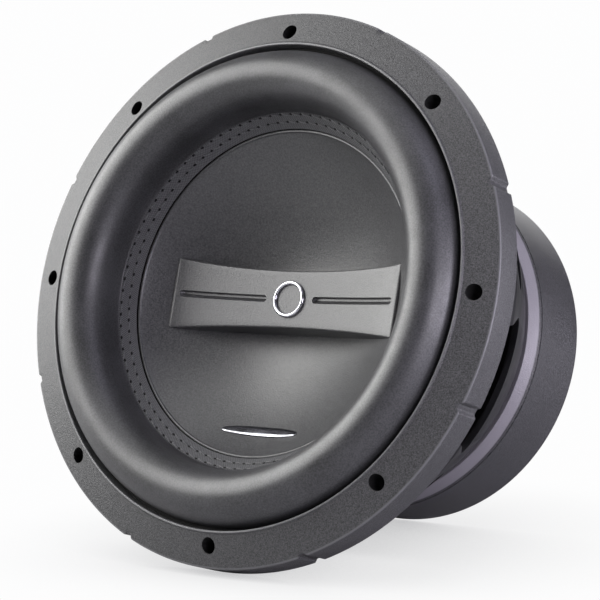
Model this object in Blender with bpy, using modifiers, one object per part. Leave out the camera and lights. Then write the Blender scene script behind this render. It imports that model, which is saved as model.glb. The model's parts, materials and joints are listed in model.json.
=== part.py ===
"""A twelve-inch car subwoofer speaker, built as the separate pieces it comes apart into.

Blender 4.5, metres, +Z up. The speaker looks along -Y: its axis is the Y axis, and the terminal
blocks sit at the top and the bottom of the basket. Sizes below are millimetres. "Depth" is the
distance behind the plane of the screw holes, so the trim ring starts near depth 0 and the motor
ends at REAR_DEPTH. The whole assembly hangs on an empty that puts the middle of the speaker's
length at the world origin.
"""

import bpy
import bmesh
from math import atan2, cos, degrees, hypot, pi, radians, sin, sqrt
from mathutils import Matrix, Vector

MM = 0.001
GAP = 0.3
AXIS_FRAME = Matrix.Rotation(radians(-90.0), 4, "X")

# ---- Whole speaker
FRONT_DEPTH = -14.4
REAR_DEPTH = 191.0
SEAT_DEPTH = 21.9
RING_STEPS = 40
INNER_STEPS = 32
SCREW_STEPS = 12

# ---- Trim ring and its eight screw positions
TRIM_R = 159.3
TRIM_LIP_R = 138.7
TRIM_LIP_DEPTH = -1.9
TRIM_EDGE_DEPTH = 4.5
TRIM_EDGE_ROUND = 1.2
TRIM_SHELF_DEPTH = 5.4
HOLE_COUNT = 8
HOLE_CIRCLE_R = 147.0
TRIM_HOLE_R = 4.5
FLANGE_HOLE_R = 3.25
NOTCH_R = 3.25
NOTCH_CIRCLE_R = 160.55

# ---- Basket
FLANGE_R = 156.0
FLANGE_THICK = 3.0
LAND_OUTER_R = 141.5
LAND_INNER_R = 133.5
LAND_DEPTH = 8.2
WALL_TOP_R = 139.5
WALL_KNEE_R, WALL_KNEE_DEPTH = 137.5, 60.0
CUP_TOP_R, CUP_TOP_DEPTH = 124.0, 88.0
CUP_BASE_R, CUP_BASE_DEPTH = 102.0, 132.0
BASKET_WALL = 3.2
LEDGE_R = 86.0
LEDGE_DEPTH = 107.1
BASE_FRONT_DEPTH, BASE_REAR_DEPTH = 133.5, 137.5
BASE_OUTER_R, BASE_INNER_R = 96.0, 60.0
SPOKE_ANGLE = 5.1
WINDOW_COUNT = 8
WINDOW_TOP_DEPTH, WINDOW_BOTTOM_DEPTH = 28.0, 90.0
WINDOW_TOP_HALF, WINDOW_BOTTOM_HALF = 28.0, 43.0
WINDOW_CORNER = 8.0

# ---- Surround, cone and cap
ROLL_R, ROLL_DEPTH = 120.4, 4.0
ROLL_HALF_WIDTH, ROLL_HEIGHT = 15.8, 18.4
ROLL_FOOT, ROLL_FOOT_DEPTH = 0.3, 9.0
SURROUND_THICK = 2.0
SURROUND_SEAT_DEPTH = 5.7
SKIRT_OUTER_R, SKIRT_INNER_R = 103.6, 96.0
SKIRT_ORIGIN_R, SKIRT_ORIGIN_DEPTH, SKIRT_SLOPE = 104.4, 12.4, 0.82
CONE_OFFSET = 3.0
CONE_WALL_DEPTH = 2.6
CONE_OUTER_R = 104.4
DISH_RIM_R, DISH_RIM_DEPTH = 95.2, 20.4
DISH_SPHERE_R, DISH_DEPTH = 140.0, 57.0
DISH_WALL = 2.0
BAR_HALF_LENGTH = 84.0
BAR_HALF_HEIGHT, BAR_FLARE = 16.7, 3.8
BAR_DEPTH, BAR_BOW = 39.5, 6.5
BAR_SPAN = 75.0
BAR_DRAFT = 1.2
SLOT_START, SLOT_END, SLOT_HEIGHT, SLOT_CUT = 16.3, 74.6, 3.6, 2.0
BADGE_R, BADGE_TUBE_R = 9.6, 1.2
PLATE_CENTRE_Z, PLATE_HALF_LENGTH, PLATE_HALF_HEIGHT, PLATE_THICK = -78.0, 26.5, 3.0, 1.0

# ---- Voice coil and spider
FORMER_INNER_R, FORMER_OUTER_R = 36.9, 37.4
FORMER_START, FORMER_END = 63.0, 160.0
NECK_R = 37.7
COIL_START, COIL_END = 128.0, 158.0
COIL_WALL = 0.9
SPIDER_OUTER_R, SPIDER_DEPTH, SPIDER_WAVE, SPIDER_THICK = 97.0, 106.0, 3.0, 0.8
SPIDER_WAVES = 3

# ---- Motor
TOP_PLATE_R, TOP_PLATE_BORE_R = 95.0, 41.0
TOP_PLATE_FRONT, TOP_PLATE_REAR = 137.8, 147.8
MAGNET_R, MAGNET_BORE_R, MAGNET_THICK = 98.0, 46.0, 14.8
YOKE_R, YOKE_THICK, POLE_R, POLE_FRONT, VENT_R = 98.0, 9.5, 36.0, 138.0, 14.0
BOOT_R, BOOT_FRONT_DEPTH, BOOT_WALL = 105.0, 139.2, 3.0
BOOT_LIP_R, BOOT_SHOULDER_R, BOOT_SHOULDER_DEPTH = 96.8, 103.4, 140.6
BOOT_VENT_R = 20.0
BOOT_ROUND = 3.0
SCREEN_THICK, SCREEN_HOLE_R = 1.2, 3.2

# ---- Screws between basket and top plate
SCREW_COUNT, SCREW_CIRCLE_R = 6, 76.0
SCREW_R, SCREW_HEAD_R, SCREW_HEAD, SCREW_LENGTH, SCREW_SOCKET = 2.5, 4.6, 3.4, 11.0, 1.9

# ---- Push terminals
TERMINAL_ANGLES = {"top": 95.1, "bottom": 230.1}
BLOCK_DEPTH = 111.0
BLOCK_LENGTH, BLOCK_WIDTH, BLOCK_HEIGHT = 52.0, 24.0, 12.0
BUTTON_SPACING = 11.0
POCKET_LENGTH, POCKET_WIDTH, POCKET_FLOOR = 17.0, 13.6, 3.6
BUTTON_CLEARANCE, BUTTON_FOOT, BUTTON_TOP = 0.4, 8.6, 16.0
SPRING_R, SPRING_WIRE_R, SPRING_TURNS, SPRING_Y = 3.0, 0.45, 3, 3.2
CONTACT_LENGTH, CONTACT_WIDTH, CONTACT_THICK = 16.0, 4.6, 0.8
RIVET_X, RIVET_HEAD_R, RIVET_R = 22.3, 2.6, 1.5
LEAD_R, LEAD_POINTS = 1.1, 12
LEAD_END_DEPTH, LEAD_DIP_R, LEAD_DIP_DEPTH = 86.0, 75.0, 70.0
LEAD_RISE_OUT, LEAD_RISE_FORWARD = 10.0, 24.0


# ---------------------------------------------------------------- helpers

def clear_scene():
    for obj in list(bpy.data.objects):
        bpy.data.objects.remove(obj, do_unlink=True)


def new_collection(name):
    collection = bpy.data.collections.new(name)
    bpy.context.scene.collection.children.link(collection)
    return collection


def material(name, color, roughness, metallic=0.0):
    made = bpy.data.materials.new(name)
    made.use_nodes = True
    shader = made.node_tree.nodes["Principled BSDF"]
    shader.inputs["Base Color"].default_value = (*color, 1.0)
    shader.inputs["Roughness"].default_value = roughness
    shader.inputs["Metallic"].default_value = metallic
    made.diffuse_color = (*color, 1.0)
    return made


def add_object(name, mesh, finish, parent, collection, matrix=Matrix()):
    """An object whose matrix is given relative to its parent."""
    obj = bpy.data.objects.new(name, mesh)
    collection.objects.link(obj)
    obj.parent = parent
    obj.matrix_local = matrix
    if finish:
        mesh.materials.append(finish)
    return obj


def add_empty(name, parent, matrix):
    empty = bpy.data.objects.new(name, None)
    empty.empty_display_size = 0.02
    PARTS.objects.link(empty)
    empty.parent = parent
    empty.matrix_local = matrix
    return empty


def smooth(mesh, angle=35.0):
    mesh.shade_smooth()
    mesh.set_sharp_from_angle(angle=radians(angle))


def baked(obj):
    """Replaces the object's mesh by its evaluated one, and drops its modifiers."""
    graph = bpy.context.evaluated_depsgraph_get()
    graph.update()
    mesh = bpy.data.meshes.new_from_object(obj.evaluated_get(graph))
    obj.modifiers.clear()
    obj.data = mesh
    return obj


def face_outward(bm):
    """Turns every face of a closed mesh to the outside."""
    bmesh.ops.recalc_face_normals(bm, faces=bm.faces)
    if bm.calc_volume(signed=True) < 0.0:
        bmesh.ops.reverse_faces(bm, faces=bm.faces)


def bm_to_mesh(name, bm):
    mesh = bpy.data.meshes.new(name)
    bm.to_mesh(mesh)
    bm.free()
    return mesh


def clockwise(points):
    """The outline with its outer side running from high depth to low depth."""
    area = sum(a[0] * b[1] - b[0] * a[1] for a, b in zip(points, points[1:] + points[:1]))
    return points[::-1] if area > 0 else points


def turned(name, outline, finish, parent, steps=RING_STEPS, place=AXIS_FRAME):
    """A solid turned about local Z, which the default frame lays along the speaker's axis.

    The outline is (radius, height) points in millimetres. One that starts and ends on the axis is
    left open there, and any other is a closed loop.
    """
    points = clockwise(list(outline))
    touches_axis = any(radius == 0.0 for radius, _ in points)
    if touches_axis:
        start = next(i for i, p in enumerate(points) if p[0] == 0.0 and points[i - 1][0] == 0.0)
        points = points[start:] + points[:start]
    bm = bmesh.new()
    verts = [bm.verts.new((radius * MM, 0.0, height * MM)) for radius, height in points]
    for first, second in zip(verts, verts[1:]):
        bm.edges.new((first, second))
    if not touches_axis:
        bm.edges.new((verts[-1], verts[0]))
    obj = add_object(name, bm_to_mesh(name, bm), finish, parent, PARTS, place)
    screw = obj.modifiers.new("turn", "SCREW")
    screw.axis = "Z"
    screw.angle = 2.0 * pi
    screw.steps = steps
    screw.render_steps = steps
    screw.use_merge_vertices = True
    screw.merge_threshold = 0.00001
    return baked_smooth(obj)


def baked_smooth(obj):
    baked(obj)
    smooth(obj.data)
    return obj


def arc(centre, radius_x, radius_y, start, end, count):
    """Points on an ellipse arc, from start to end degrees."""
    angles = [start + (end - start) * i / (count - 1) for i in range(count)]
    return [
        (centre[0] + radius_x * cos(radians(a)), centre[1] + radius_y * sin(radians(a)))
        for a in angles
    ]


def thickened(front, thickness):
    """A closed outline between an open line and its copy moved back along the normals."""
    back = []
    for index, point in enumerate(front):
        before = front[max(index - 1, 0)]
        after = front[min(index + 1, len(front) - 1)]
        run, rise = after[0] - before[0], after[1] - before[1]
        length = hypot(run, rise)
        back.append((point[0] - rise / length * thickness, point[1] + run / length * thickness))
    return list(front) + back[::-1]


def prism(name, outline, height, collection=None):
    """A flat outline in XY, from z = 0 up to the height, in metres, as one welded mesh."""
    curve = bpy.data.curves.new(name, "CURVE")
    curve.dimensions = "2D"
    curve.fill_mode = "BOTH"
    curve.extrude = height / 2.0
    spline = curve.splines.new("POLY")
    spline.points.add(len(outline) - 1)
    for point, (x, y) in zip(spline.points, outline):
        point.co = (x, y, 0.0, 1.0)
    spline.use_cyclic_u = True
    flat = bpy.data.objects.new(name, curve)
    (collection or PARTS).objects.link(flat)
    graph = bpy.context.evaluated_depsgraph_get()
    mesh = bpy.data.meshes.new_from_object(flat.evaluated_get(graph))
    bpy.data.objects.remove(flat)
    bm = bmesh.new()
    bm.from_mesh(mesh)
    bmesh.ops.remove_doubles(bm, verts=bm.verts, dist=0.000001)
    bmesh.ops.translate(bm, verts=bm.verts, vec=(0.0, 0.0, height / 2.0))
    face_outward(bm)
    bm.to_mesh(mesh)
    bm.free()
    return mesh


def box_mesh(name, size, centre, bevel=0.0, segments=1):
    """A box of the given size and centre in millimetres, with its edges bevelled."""
    bm = bmesh.new()
    scaling = Matrix.Diagonal((size[0] * MM, size[1] * MM, size[2] * MM, 1.0))
    shift = Matrix.Translation(Vector(centre) * MM)
    bmesh.ops.create_cube(bm, size=1.0, matrix=shift @ scaling)
    if bevel:
        bmesh.ops.bevel(
            bm, geom=list(bm.edges), offset=bevel * MM, segments=segments,
            affect="EDGES", profile=0.5,
        )
    return bm_to_mesh(name, bm)


def rod(bm, radius, start, end, matrix=Matrix(), segments=16):
    """Adds a capped cylinder along local Z to a bmesh, in millimetres."""
    place = matrix @ Matrix.Translation((0.0, 0.0, (start + end) / 2.0 * MM))
    bmesh.ops.create_cone(
        bm, cap_ends=True, segments=segments, radius1=radius * MM, radius2=radius * MM,
        depth=(end - start) * MM, matrix=place,
    )


def around_axis(angle, radius, depth):
    """A frame on the speaker: local X is tangential, local Y points to the rear, local Z out."""
    out = Vector((cos(radians(angle)), 0.0, sin(radians(angle))))
    rear = Vector((0.0, 1.0, 0.0))
    side = rear.cross(out)
    place = out * radius * MM + rear * depth * MM
    return Matrix((
        (side.x, rear.x, out.x, place.x),
        (side.y, rear.y, out.y, place.y),
        (side.z, rear.z, out.z, place.z),
        (0.0, 0.0, 0.0, 1.0),
    ))


def along_depth(angle, radius):
    """A frame whose local Z runs to the rear, at an angle and radius from the axis."""
    place = Vector((radius * MM * cos(radians(angle)), 0.0, radius * MM * sin(radians(angle))))
    return Matrix.Translation(place) @ AXIS_FRAME


def cutter(name, mesh, parent, matrix=Matrix()):
    obj = add_object(name, mesh, None, parent, CUTTERS, matrix)
    obj.hide_render = True
    obj.display_type = "WIRE"
    return obj


def cut(target, tool, operation="DIFFERENCE"):
    boolean = target.modifiers.new(tool.name, "BOOLEAN")
    boolean.operation = operation
    boolean.solver = "EXACT"
    boolean.object = tool


# ---------------------------------------------------------------- shared shapes

def dish_depth(radius):
    """Depth of the cap's concave front at a radius."""
    return DISH_DEPTH - (DISH_SPHERE_R - sqrt(DISH_SPHERE_R**2 - radius**2))


def skirt_depth(radius):
    """Depth of the surround's sloping inner flange, and of the cone's line carried inward."""
    return SKIRT_ORIGIN_DEPTH + SKIRT_SLOPE * (SKIRT_ORIGIN_R - radius)


def bar_face(x):
    """Depth of the bar's bowed front face."""
    return BAR_DEPTH - BAR_BOW * (x / BAR_SPAN) ** 2


def bar_half_height(x):
    return BAR_HALF_HEIGHT + BAR_FLARE * (x / BAR_SPAN) ** 2


# ---------------------------------------------------------------- frame pieces

def make_trim_ring(parent, finish):
    slope = (TRIM_EDGE_DEPTH - TRIM_LIP_DEPTH) / (TRIM_R - TRIM_LIP_R)
    edge_depth = TRIM_EDGE_DEPTH + TRIM_EDGE_ROUND
    outline = [
        (TRIM_LIP_R, TRIM_LIP_DEPTH),
        (TRIM_LIP_R + 1.2, TRIM_LIP_DEPTH - 0.4),
        (TRIM_LIP_R + 2.2, TRIM_LIP_DEPTH + 2.2 * slope),
        (TRIM_R - TRIM_EDGE_ROUND, TRIM_EDGE_DEPTH - TRIM_EDGE_ROUND * slope),
        (TRIM_R, edge_depth),
        (TRIM_R, SEAT_DEPTH),
        (FLANGE_R + 0.4, SEAT_DEPTH),
        (FLANGE_R + 0.4, SEAT_DEPTH - FLANGE_THICK - GAP),
        (LAND_OUTER_R + GAP, SEAT_DEPTH - FLANGE_THICK - GAP),
        (LAND_OUTER_R + GAP, TRIM_SHELF_DEPTH),
        (TRIM_LIP_R, TRIM_SHELF_DEPTH),
    ]
    ring = turned("trim_ring", outline, finish, parent)
    holes, notches = bmesh.new(), bmesh.new()
    for index in range(HOLE_COUNT):
        angle = 90.0 + 360.0 / HOLE_COUNT * index
        rod(holes, TRIM_HOLE_R, -10.0, 25.0, along_depth(angle, HOLE_CIRCLE_R), 20)
        between = angle + 180.0 / HOLE_COUNT
        rod(notches, NOTCH_R, -10.0, 30.0, along_depth(between, NOTCH_CIRCLE_R), 16)
    cut(ring, cutter("trim_hole_cutter", bm_to_mesh("trim_holes", holes), parent))
    cut(ring, cutter("trim_notch_cutter", bm_to_mesh("trim_notches", notches), parent))
    return baked_smooth(ring)


def window_outline():
    """Rounded trapezoid in metres: x is tangential, y is depth."""
    corners = [
        (-WINDOW_TOP_HALF, WINDOW_TOP_DEPTH),
        (WINDOW_TOP_HALF, WINDOW_TOP_DEPTH),
        (WINDOW_BOTTOM_HALF, WINDOW_BOTTOM_DEPTH),
        (-WINDOW_BOTTOM_HALF, WINDOW_BOTTOM_DEPTH),
    ]
    points = []
    for index, corner in enumerate(corners):
        corner = Vector(corner)
        before = (Vector(corners[index - 1]) - corner).normalized()
        after = (Vector(corners[(index + 1) % 4]) - corner).normalized()
        half = before.angle(after) / 2.0
        middle = (before + after).normalized()
        centre = corner + middle * (WINDOW_CORNER / sin(half))
        swing = degrees(pi / 2.0 - half)
        facing = degrees(atan2(-middle.y, -middle.x))
        points += arc(centre, WINDOW_CORNER, WINDOW_CORNER, facing - swing, facing + swing, 3)
    return [(x * MM, y * MM) for x, y in points]


def make_basket(parent, finish):
    front = SEAT_DEPTH - FLANGE_THICK
    inner_slope = (CUP_TOP_R - CUP_BASE_R) / (CUP_BASE_DEPTH - CUP_TOP_DEPTH)
    wall = BASKET_WALL

    def cup_inside(depth):
        return CUP_TOP_R - wall * 1.15 - (depth - CUP_TOP_DEPTH) * inner_slope

    outline = [
        (FLANGE_R, front),
        (FLANGE_R, SEAT_DEPTH),
        (WALL_TOP_R, SEAT_DEPTH),
        (WALL_KNEE_R, WALL_KNEE_DEPTH),
        (CUP_TOP_R, CUP_TOP_DEPTH),
        (CUP_BASE_R, CUP_BASE_DEPTH),
        (BASE_OUTER_R, BASE_REAR_DEPTH),
        (BASE_INNER_R, BASE_REAR_DEPTH),
        (BASE_INNER_R, BASE_FRONT_DEPTH),
        (BASE_OUTER_R - 2.0, BASE_FRONT_DEPTH),
        (cup_inside(LEDGE_DEPTH + wall), LEDGE_DEPTH + wall),
        (LEDGE_R, LEDGE_DEPTH + wall),
        (LEDGE_R, LEDGE_DEPTH),
        (cup_inside(LEDGE_DEPTH), LEDGE_DEPTH),
        (CUP_TOP_R - wall * 1.2, CUP_TOP_DEPTH - 1.0),
        (WALL_KNEE_R - wall, WALL_KNEE_DEPTH - 1.0),
        (WALL_TOP_R - wall - 0.3, front + 3.0),
        (LAND_INNER_R, front),
        (LAND_INNER_R, LAND_DEPTH),
        (LAND_OUTER_R, LAND_DEPTH),
        (LAND_OUTER_R, front),
    ]
    basket = turned("basket", outline, finish, parent)
    shape = window_outline()
    for index in range(WINDOW_COUNT):
        angle = SPOKE_ANGLE + 360.0 / WINDOW_COUNT * (index + 0.5)
        tool = prism("window", shape, 90.0 * MM, CUTTERS)
        place = around_axis(angle, 95.0, 0.0)
        cut(basket, cutter(f"window_cutter_{index + 1}", tool, parent, place))
    holes = bmesh.new()
    for index in range(HOLE_COUNT):
        angle = 90.0 + 360.0 / HOLE_COUNT * index
        rod(holes, FLANGE_HOLE_R, 10.0, 30.0, along_depth(angle, HOLE_CIRCLE_R), 12)
    for angle in screw_angles():
        rod(holes, SCREW_R + GAP + 0.2, 125.0, 145.0, along_depth(angle, SCREW_CIRCLE_R), 12)
    cut(basket, cutter("basket_hole_cutter", bm_to_mesh("basket_holes", holes), parent))
    return basket


def screw_angles():
    return [360.0 / SCREW_COUNT * index for index in range(SCREW_COUNT)]


def make_screws(parent, finish):
    """Socket-head screws from the basket's base ring into the top plate."""
    seat = BASE_FRONT_DEPTH - GAP
    front = seat - SCREW_HEAD
    outline = [
        (0.0, front + SCREW_HEAD * 0.6),
        (SCREW_SOCKET, front + SCREW_HEAD * 0.6),
        (SCREW_SOCKET, front),
        (SCREW_HEAD_R - 0.5, front),
        (SCREW_HEAD_R, front + 0.5),
        (SCREW_HEAD_R, seat),
        (SCREW_R, seat),
        (SCREW_R, seat + SCREW_LENGTH),
        (0.0, seat + SCREW_LENGTH),
    ]
    for number, angle in enumerate(screw_angles(), 1):
        turned(f"basket_screw_{number}", outline, finish, parent, SCREW_STEPS,
               along_depth(angle, SCREW_CIRCLE_R))


# ---------------------------------------------------------------- moving diaphragm

def surround_front():
    """Front of the surround, from the inner edge of its skirt to its glued outer edge."""
    skirt = [(radius, skirt_depth(radius)) for radius in (SKIRT_INNER_R, SKIRT_OUTER_R)]
    leg = [(ROLL_R - ROLL_HALF_WIDTH - ROLL_FOOT, ROLL_FOOT_DEPTH)]
    roll = arc((ROLL_R, ROLL_DEPTH), ROLL_HALF_WIDTH, ROLL_HEIGHT, 180.0, 360.0, 9)
    edge = [(138.0, SURROUND_SEAT_DEPTH), (LAND_OUTER_R - 0.5, SURROUND_SEAT_DEPTH)]
    return skirt + leg + roll + edge


def make_surround(parent, finish):
    return turned("surround", thickened(surround_front(), SURROUND_THICK), finish, parent)


def make_cone(parent, finish):
    front = [
        (NECK_R, skirt_depth(NECK_R) + CONE_OFFSET),
        (CONE_OUTER_R, skirt_depth(CONE_OUTER_R) + CONE_OFFSET),
    ]
    back = [(radius, depth + CONE_WALL_DEPTH) for radius, depth in front[::-1]]
    return turned("cone", front + back, finish, parent)


def bar_mesh():
    """The bar as a flared slab from its bowed front back into the dish wall."""
    columns, rows = 20, 4
    bm = bmesh.new()
    bmesh.ops.create_grid(bm, x_segments=columns, y_segments=rows, size=1.0)
    front = list(bm.verts)
    lip = bm.faces[:]
    back = bmesh.ops.extrude_face_region(bm, geom=lip)["geom"]
    back = {item for item in back if isinstance(item, bmesh.types.BMVert)}
    for vert in list(front) + list(back):
        x = vert.co.x * BAR_HALF_LENGTH
        half = bar_half_height(x)
        is_back = vert in back
        z = vert.co.y * (half + (BAR_DRAFT if is_back else 0.0))
        dish = dish_depth(hypot(x, z))
        depth = dish + 1.2 if is_back else min(bar_face(x), dish + 0.6)
        vert.co = (x * MM, depth * MM, z * MM)
    face_outward(bm)
    return bm_to_mesh("bar", bm)


def slot_mesh(side):
    """A round-ended slot across the bar's face, cut to an even depth along its bow."""
    half = SLOT_HEIGHT / 2.0
    left = arc((SLOT_START + half, 0.0), half, half, 90.0, 270.0, 5)
    middle = [(x, -half) for x in (26.0, 36.0, 46.0, 56.0, 66.0)]
    right = arc((SLOT_END - half, 0.0), half, half, -90.0, 90.0, 5)
    outline = left + middle + right + [(x, half) for x, _ in middle[::-1]]
    mesh = prism("slot", [(x * MM, z * MM) for x, z in outline], 30.0 * MM, CUTTERS)
    bm = bmesh.new()
    bm.from_mesh(mesh)
    for vert in bm.verts:
        x, z, is_floor = vert.co.x / MM, vert.co.y / MM, vert.co.z > 0.015
        depth = bar_face(x) + (SLOT_CUT if is_floor else -15.0)
        vert.co = (side * x * MM, depth * MM, z * MM)
    face_outward(bm)
    bm.to_mesh(mesh)
    bm.free()
    return mesh


def make_dust_cap(parent, finish):
    radii = [93.4, 80.0, 64.0, 46.0, 24.0, 0.0]
    front = [(DISH_RIM_R, DISH_RIM_DEPTH + 0.6), (DISH_RIM_R - 0.9, DISH_RIM_DEPTH)]
    front += [(radius, dish_depth(radius)) for radius in radii]
    back_wall = DISH_WALL * DISH_SPHERE_R
    back = [(radius, dish_depth(radius) + back_wall / sqrt(DISH_SPHERE_R**2 - radius**2))
            for radius in (0.0, 34.0, 60.0, 80.0, 93.0)]
    outline = front + back + [(DISH_RIM_R, DISH_RIM_DEPTH + 2.2)]
    cap = turned("dust_cap", outline, finish, parent)
    cut(cap, cutter("bar_body", bar_mesh(), parent), "UNION")
    for name, side in (("slot_cutter_right", 1.0), ("slot_cutter_left", -1.0)):
        cut(cap, cutter(name, slot_mesh(side), parent))
    return cap


def make_badge(parent, finish):
    """A plain chrome ring that stands on the middle of the bar."""
    rear = BAR_DEPTH - GAP
    outline = [
        (BADGE_R + BADGE_TUBE_R, rear),
        (BADGE_R + BADGE_TUBE_R, rear - 1.0),
        (BADGE_R + 0.5, rear - 1.8),
        (BADGE_R - 0.5, rear - 1.8),
        (BADGE_R - BADGE_TUBE_R, rear - 1.0),
        (BADGE_R - BADGE_TUBE_R, rear),
    ]
    return turned("cap_badge", outline, finish, parent, INNER_STEPS)


def make_nameplate(parent, finish):
    """A blank slim plate that follows the dish."""
    bm = bmesh.new()
    bmesh.ops.create_grid(bm, x_segments=16, y_segments=2, size=1.0)
    front = list(bm.verts)
    made = bmesh.ops.extrude_face_region(bm, geom=bm.faces[:])["geom"]
    back = {item for item in made if isinstance(item, bmesh.types.BMVert)}
    for vert in front + list(back):
        along = vert.co.x
        x = along * PLATE_HALF_LENGTH
        taper = max(1.0 - along**2, 0.0) ** 0.5 * 0.75 + 0.25
        z = PLATE_CENTRE_Z + vert.co.y * PLATE_HALF_HEIGHT * taper
        lift = GAP + 0.2 + (0.0 if vert in back else PLATE_THICK)
        vert.co = (x * MM, (dish_depth(hypot(x, z)) - lift * 1.2) * MM, z * MM)
    face_outward(bm)
    plate = add_object("cap_nameplate", bm_to_mesh("cap_nameplate", bm), finish, parent, PARTS)
    smooth(plate.data)
    return plate


def make_tube(name, inner, outer, start, end, finish, parent):
    outline = [(inner, start), (outer, start), (outer, end), (inner, end)]
    return turned(name, outline, finish, parent, INNER_STEPS)


def make_voice_coil(parent, former_finish, wire_finish):
    make_tube("voice_coil_former", FORMER_INNER_R, FORMER_OUTER_R, FORMER_START, FORMER_END,
              former_finish, parent)
    inner = FORMER_OUTER_R + GAP
    make_tube("voice_coil_inner", inner, inner + COIL_WALL, COIL_START, COIL_END,
              wire_finish, parent)
    outer = inner + COIL_WALL + GAP
    make_tube("voice_coil_outer", outer, outer + COIL_WALL, COIL_START, COIL_END,
              wire_finish, parent)


def make_spider(parent, finish):
    """Zigzag section: full waves between a flat neck and a flat clamped edge."""
    first, last = NECK_R + 3.0, LEDGE_R - 1.0
    pitch = (last - first) / (2.0 * SPIDER_WAVES)
    line = [(NECK_R, SPIDER_DEPTH)]
    for index in range(2 * SPIDER_WAVES + 1):
        lift = 0.0 if index in (0, 2 * SPIDER_WAVES) else SPIDER_WAVE / 2.0 * (-1) ** index
        line.append((first + pitch * index, SPIDER_DEPTH + lift))
    line.append((SPIDER_OUTER_R, SPIDER_DEPTH))
    back = [(radius, depth + SPIDER_THICK) for radius, depth in line[::-1]]
    return turned("spider", line + back, finish, parent, INNER_STEPS)


def make_spider_ring(parent, finish):
    rear = SPIDER_DEPTH - GAP
    outline = [
        (LEDGE_R + 2.0, rear - 4.0), (SPIDER_OUTER_R, rear - 4.0),
        (SPIDER_OUTER_R, rear), (LEDGE_R + 2.0, rear),
    ]
    return turned("spider_ring", outline, finish, parent)


# ---------------------------------------------------------------- motor

def make_top_plate(parent, finish):
    outline = [
        (TOP_PLATE_BORE_R, TOP_PLATE_FRONT), (TOP_PLATE_R, TOP_PLATE_FRONT),
        (TOP_PLATE_R, TOP_PLATE_REAR), (TOP_PLATE_BORE_R, TOP_PLATE_REAR),
    ]
    plate = turned("top_plate", outline, finish, parent, INNER_STEPS)
    holes = bmesh.new()
    for angle in screw_angles():
        rod(holes, SCREW_R + GAP, 130.0, 145.5, along_depth(angle, SCREW_CIRCLE_R), 12)
    cut(plate, cutter("tapped_hole_cutter", bm_to_mesh("tapped_holes", holes), parent))
    return plate


def make_magnets(parent, finish):
    start = TOP_PLATE_REAR + GAP
    for name in ("magnet_front", "magnet_rear"):
        make_tube(name, MAGNET_BORE_R, MAGNET_R, start, start + MAGNET_THICK, finish, parent)
        start += MAGNET_THICK + GAP
    return start


def make_yoke(parent, finish, front):
    """T-shaped yoke: a back plate with the vented pole in one piece."""
    rear = front + YOKE_THICK
    outline = [
        (VENT_R, POLE_FRONT), (POLE_R - 0.8, POLE_FRONT), (POLE_R, POLE_FRONT + 1.5),
        (POLE_R, front), (YOKE_R, front), (YOKE_R, rear), (VENT_R + 3.0, rear),
        (VENT_R, rear - 8.0),
    ]
    turned("pole_yoke", outline, finish, parent, INNER_STEPS)
    return rear


def make_boot(parent, finish):
    """Cover cup: a lipped shoulder in front, a straight wall and a back with the vent opening."""
    wall = BOOT_WALL
    back_front = REAR_DEPTH - wall + 0.4
    outline = [
        (BOOT_LIP_R, BOOT_FRONT_DEPTH),
        (BOOT_SHOULDER_R - 1.2, BOOT_FRONT_DEPTH),
        (BOOT_SHOULDER_R, BOOT_SHOULDER_DEPTH),
        (BOOT_R, BOOT_SHOULDER_DEPTH + 2.4),
    ]
    corner = (BOOT_R - BOOT_ROUND, REAR_DEPTH - BOOT_ROUND)
    outline += arc(corner, BOOT_ROUND, BOOT_ROUND, 0.0, 90.0, 3)
    outline += [
        (BOOT_VENT_R, REAR_DEPTH),
        (BOOT_VENT_R, back_front),
        (BOOT_R - wall, back_front),
        (BOOT_R - wall, BOOT_FRONT_DEPTH + wall),
        (BOOT_LIP_R, BOOT_FRONT_DEPTH + wall),
    ]
    return turned("magnet_boot", outline, finish, parent)


def make_vent_screen(parent, finish):
    """Thin disc with seven holes, set in the boot's vent opening."""
    rear = REAR_DEPTH - 0.8
    radius = BOOT_VENT_R - GAP
    front = rear - SCREEN_THICK
    outline = [(0.0, front), (radius, front), (radius, rear), (0.0, rear)]
    screen = turned("vent_screen", outline, finish, parent, INNER_STEPS)
    holes = bmesh.new()
    rod(holes, SCREEN_HOLE_R, 180.0, 200.0, along_depth(0.0, 0.0), 12)
    for index in range(6):
        rod(holes, SCREEN_HOLE_R, 180.0, 200.0, along_depth(60.0 * index, 10.5), 12)
    cut(screen, cutter("screen_hole_cutter", bm_to_mesh("screen_holes", holes), parent))
    return screen


# ---------------------------------------------------------------- push terminals

def terminal_frame(name, angle, parent):
    """Empty on the cup's sloping wall: local Z leaves the wall, local Y runs down it."""
    slope = (CUP_TOP_R - CUP_BASE_R) / (CUP_BASE_DEPTH - CUP_TOP_DEPTH)
    radius = CUP_TOP_R - (BLOCK_DEPTH - CUP_TOP_DEPTH) * slope
    tilt = Matrix.Rotation(-atan2(slope, 1.0), 4, "X")
    place = around_axis(angle, radius, BLOCK_DEPTH) @ tilt
    return add_empty(f"terminal_frame_{name}", parent, place)


def pocket_x(side):
    return BUTTON_SPACING * side


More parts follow.
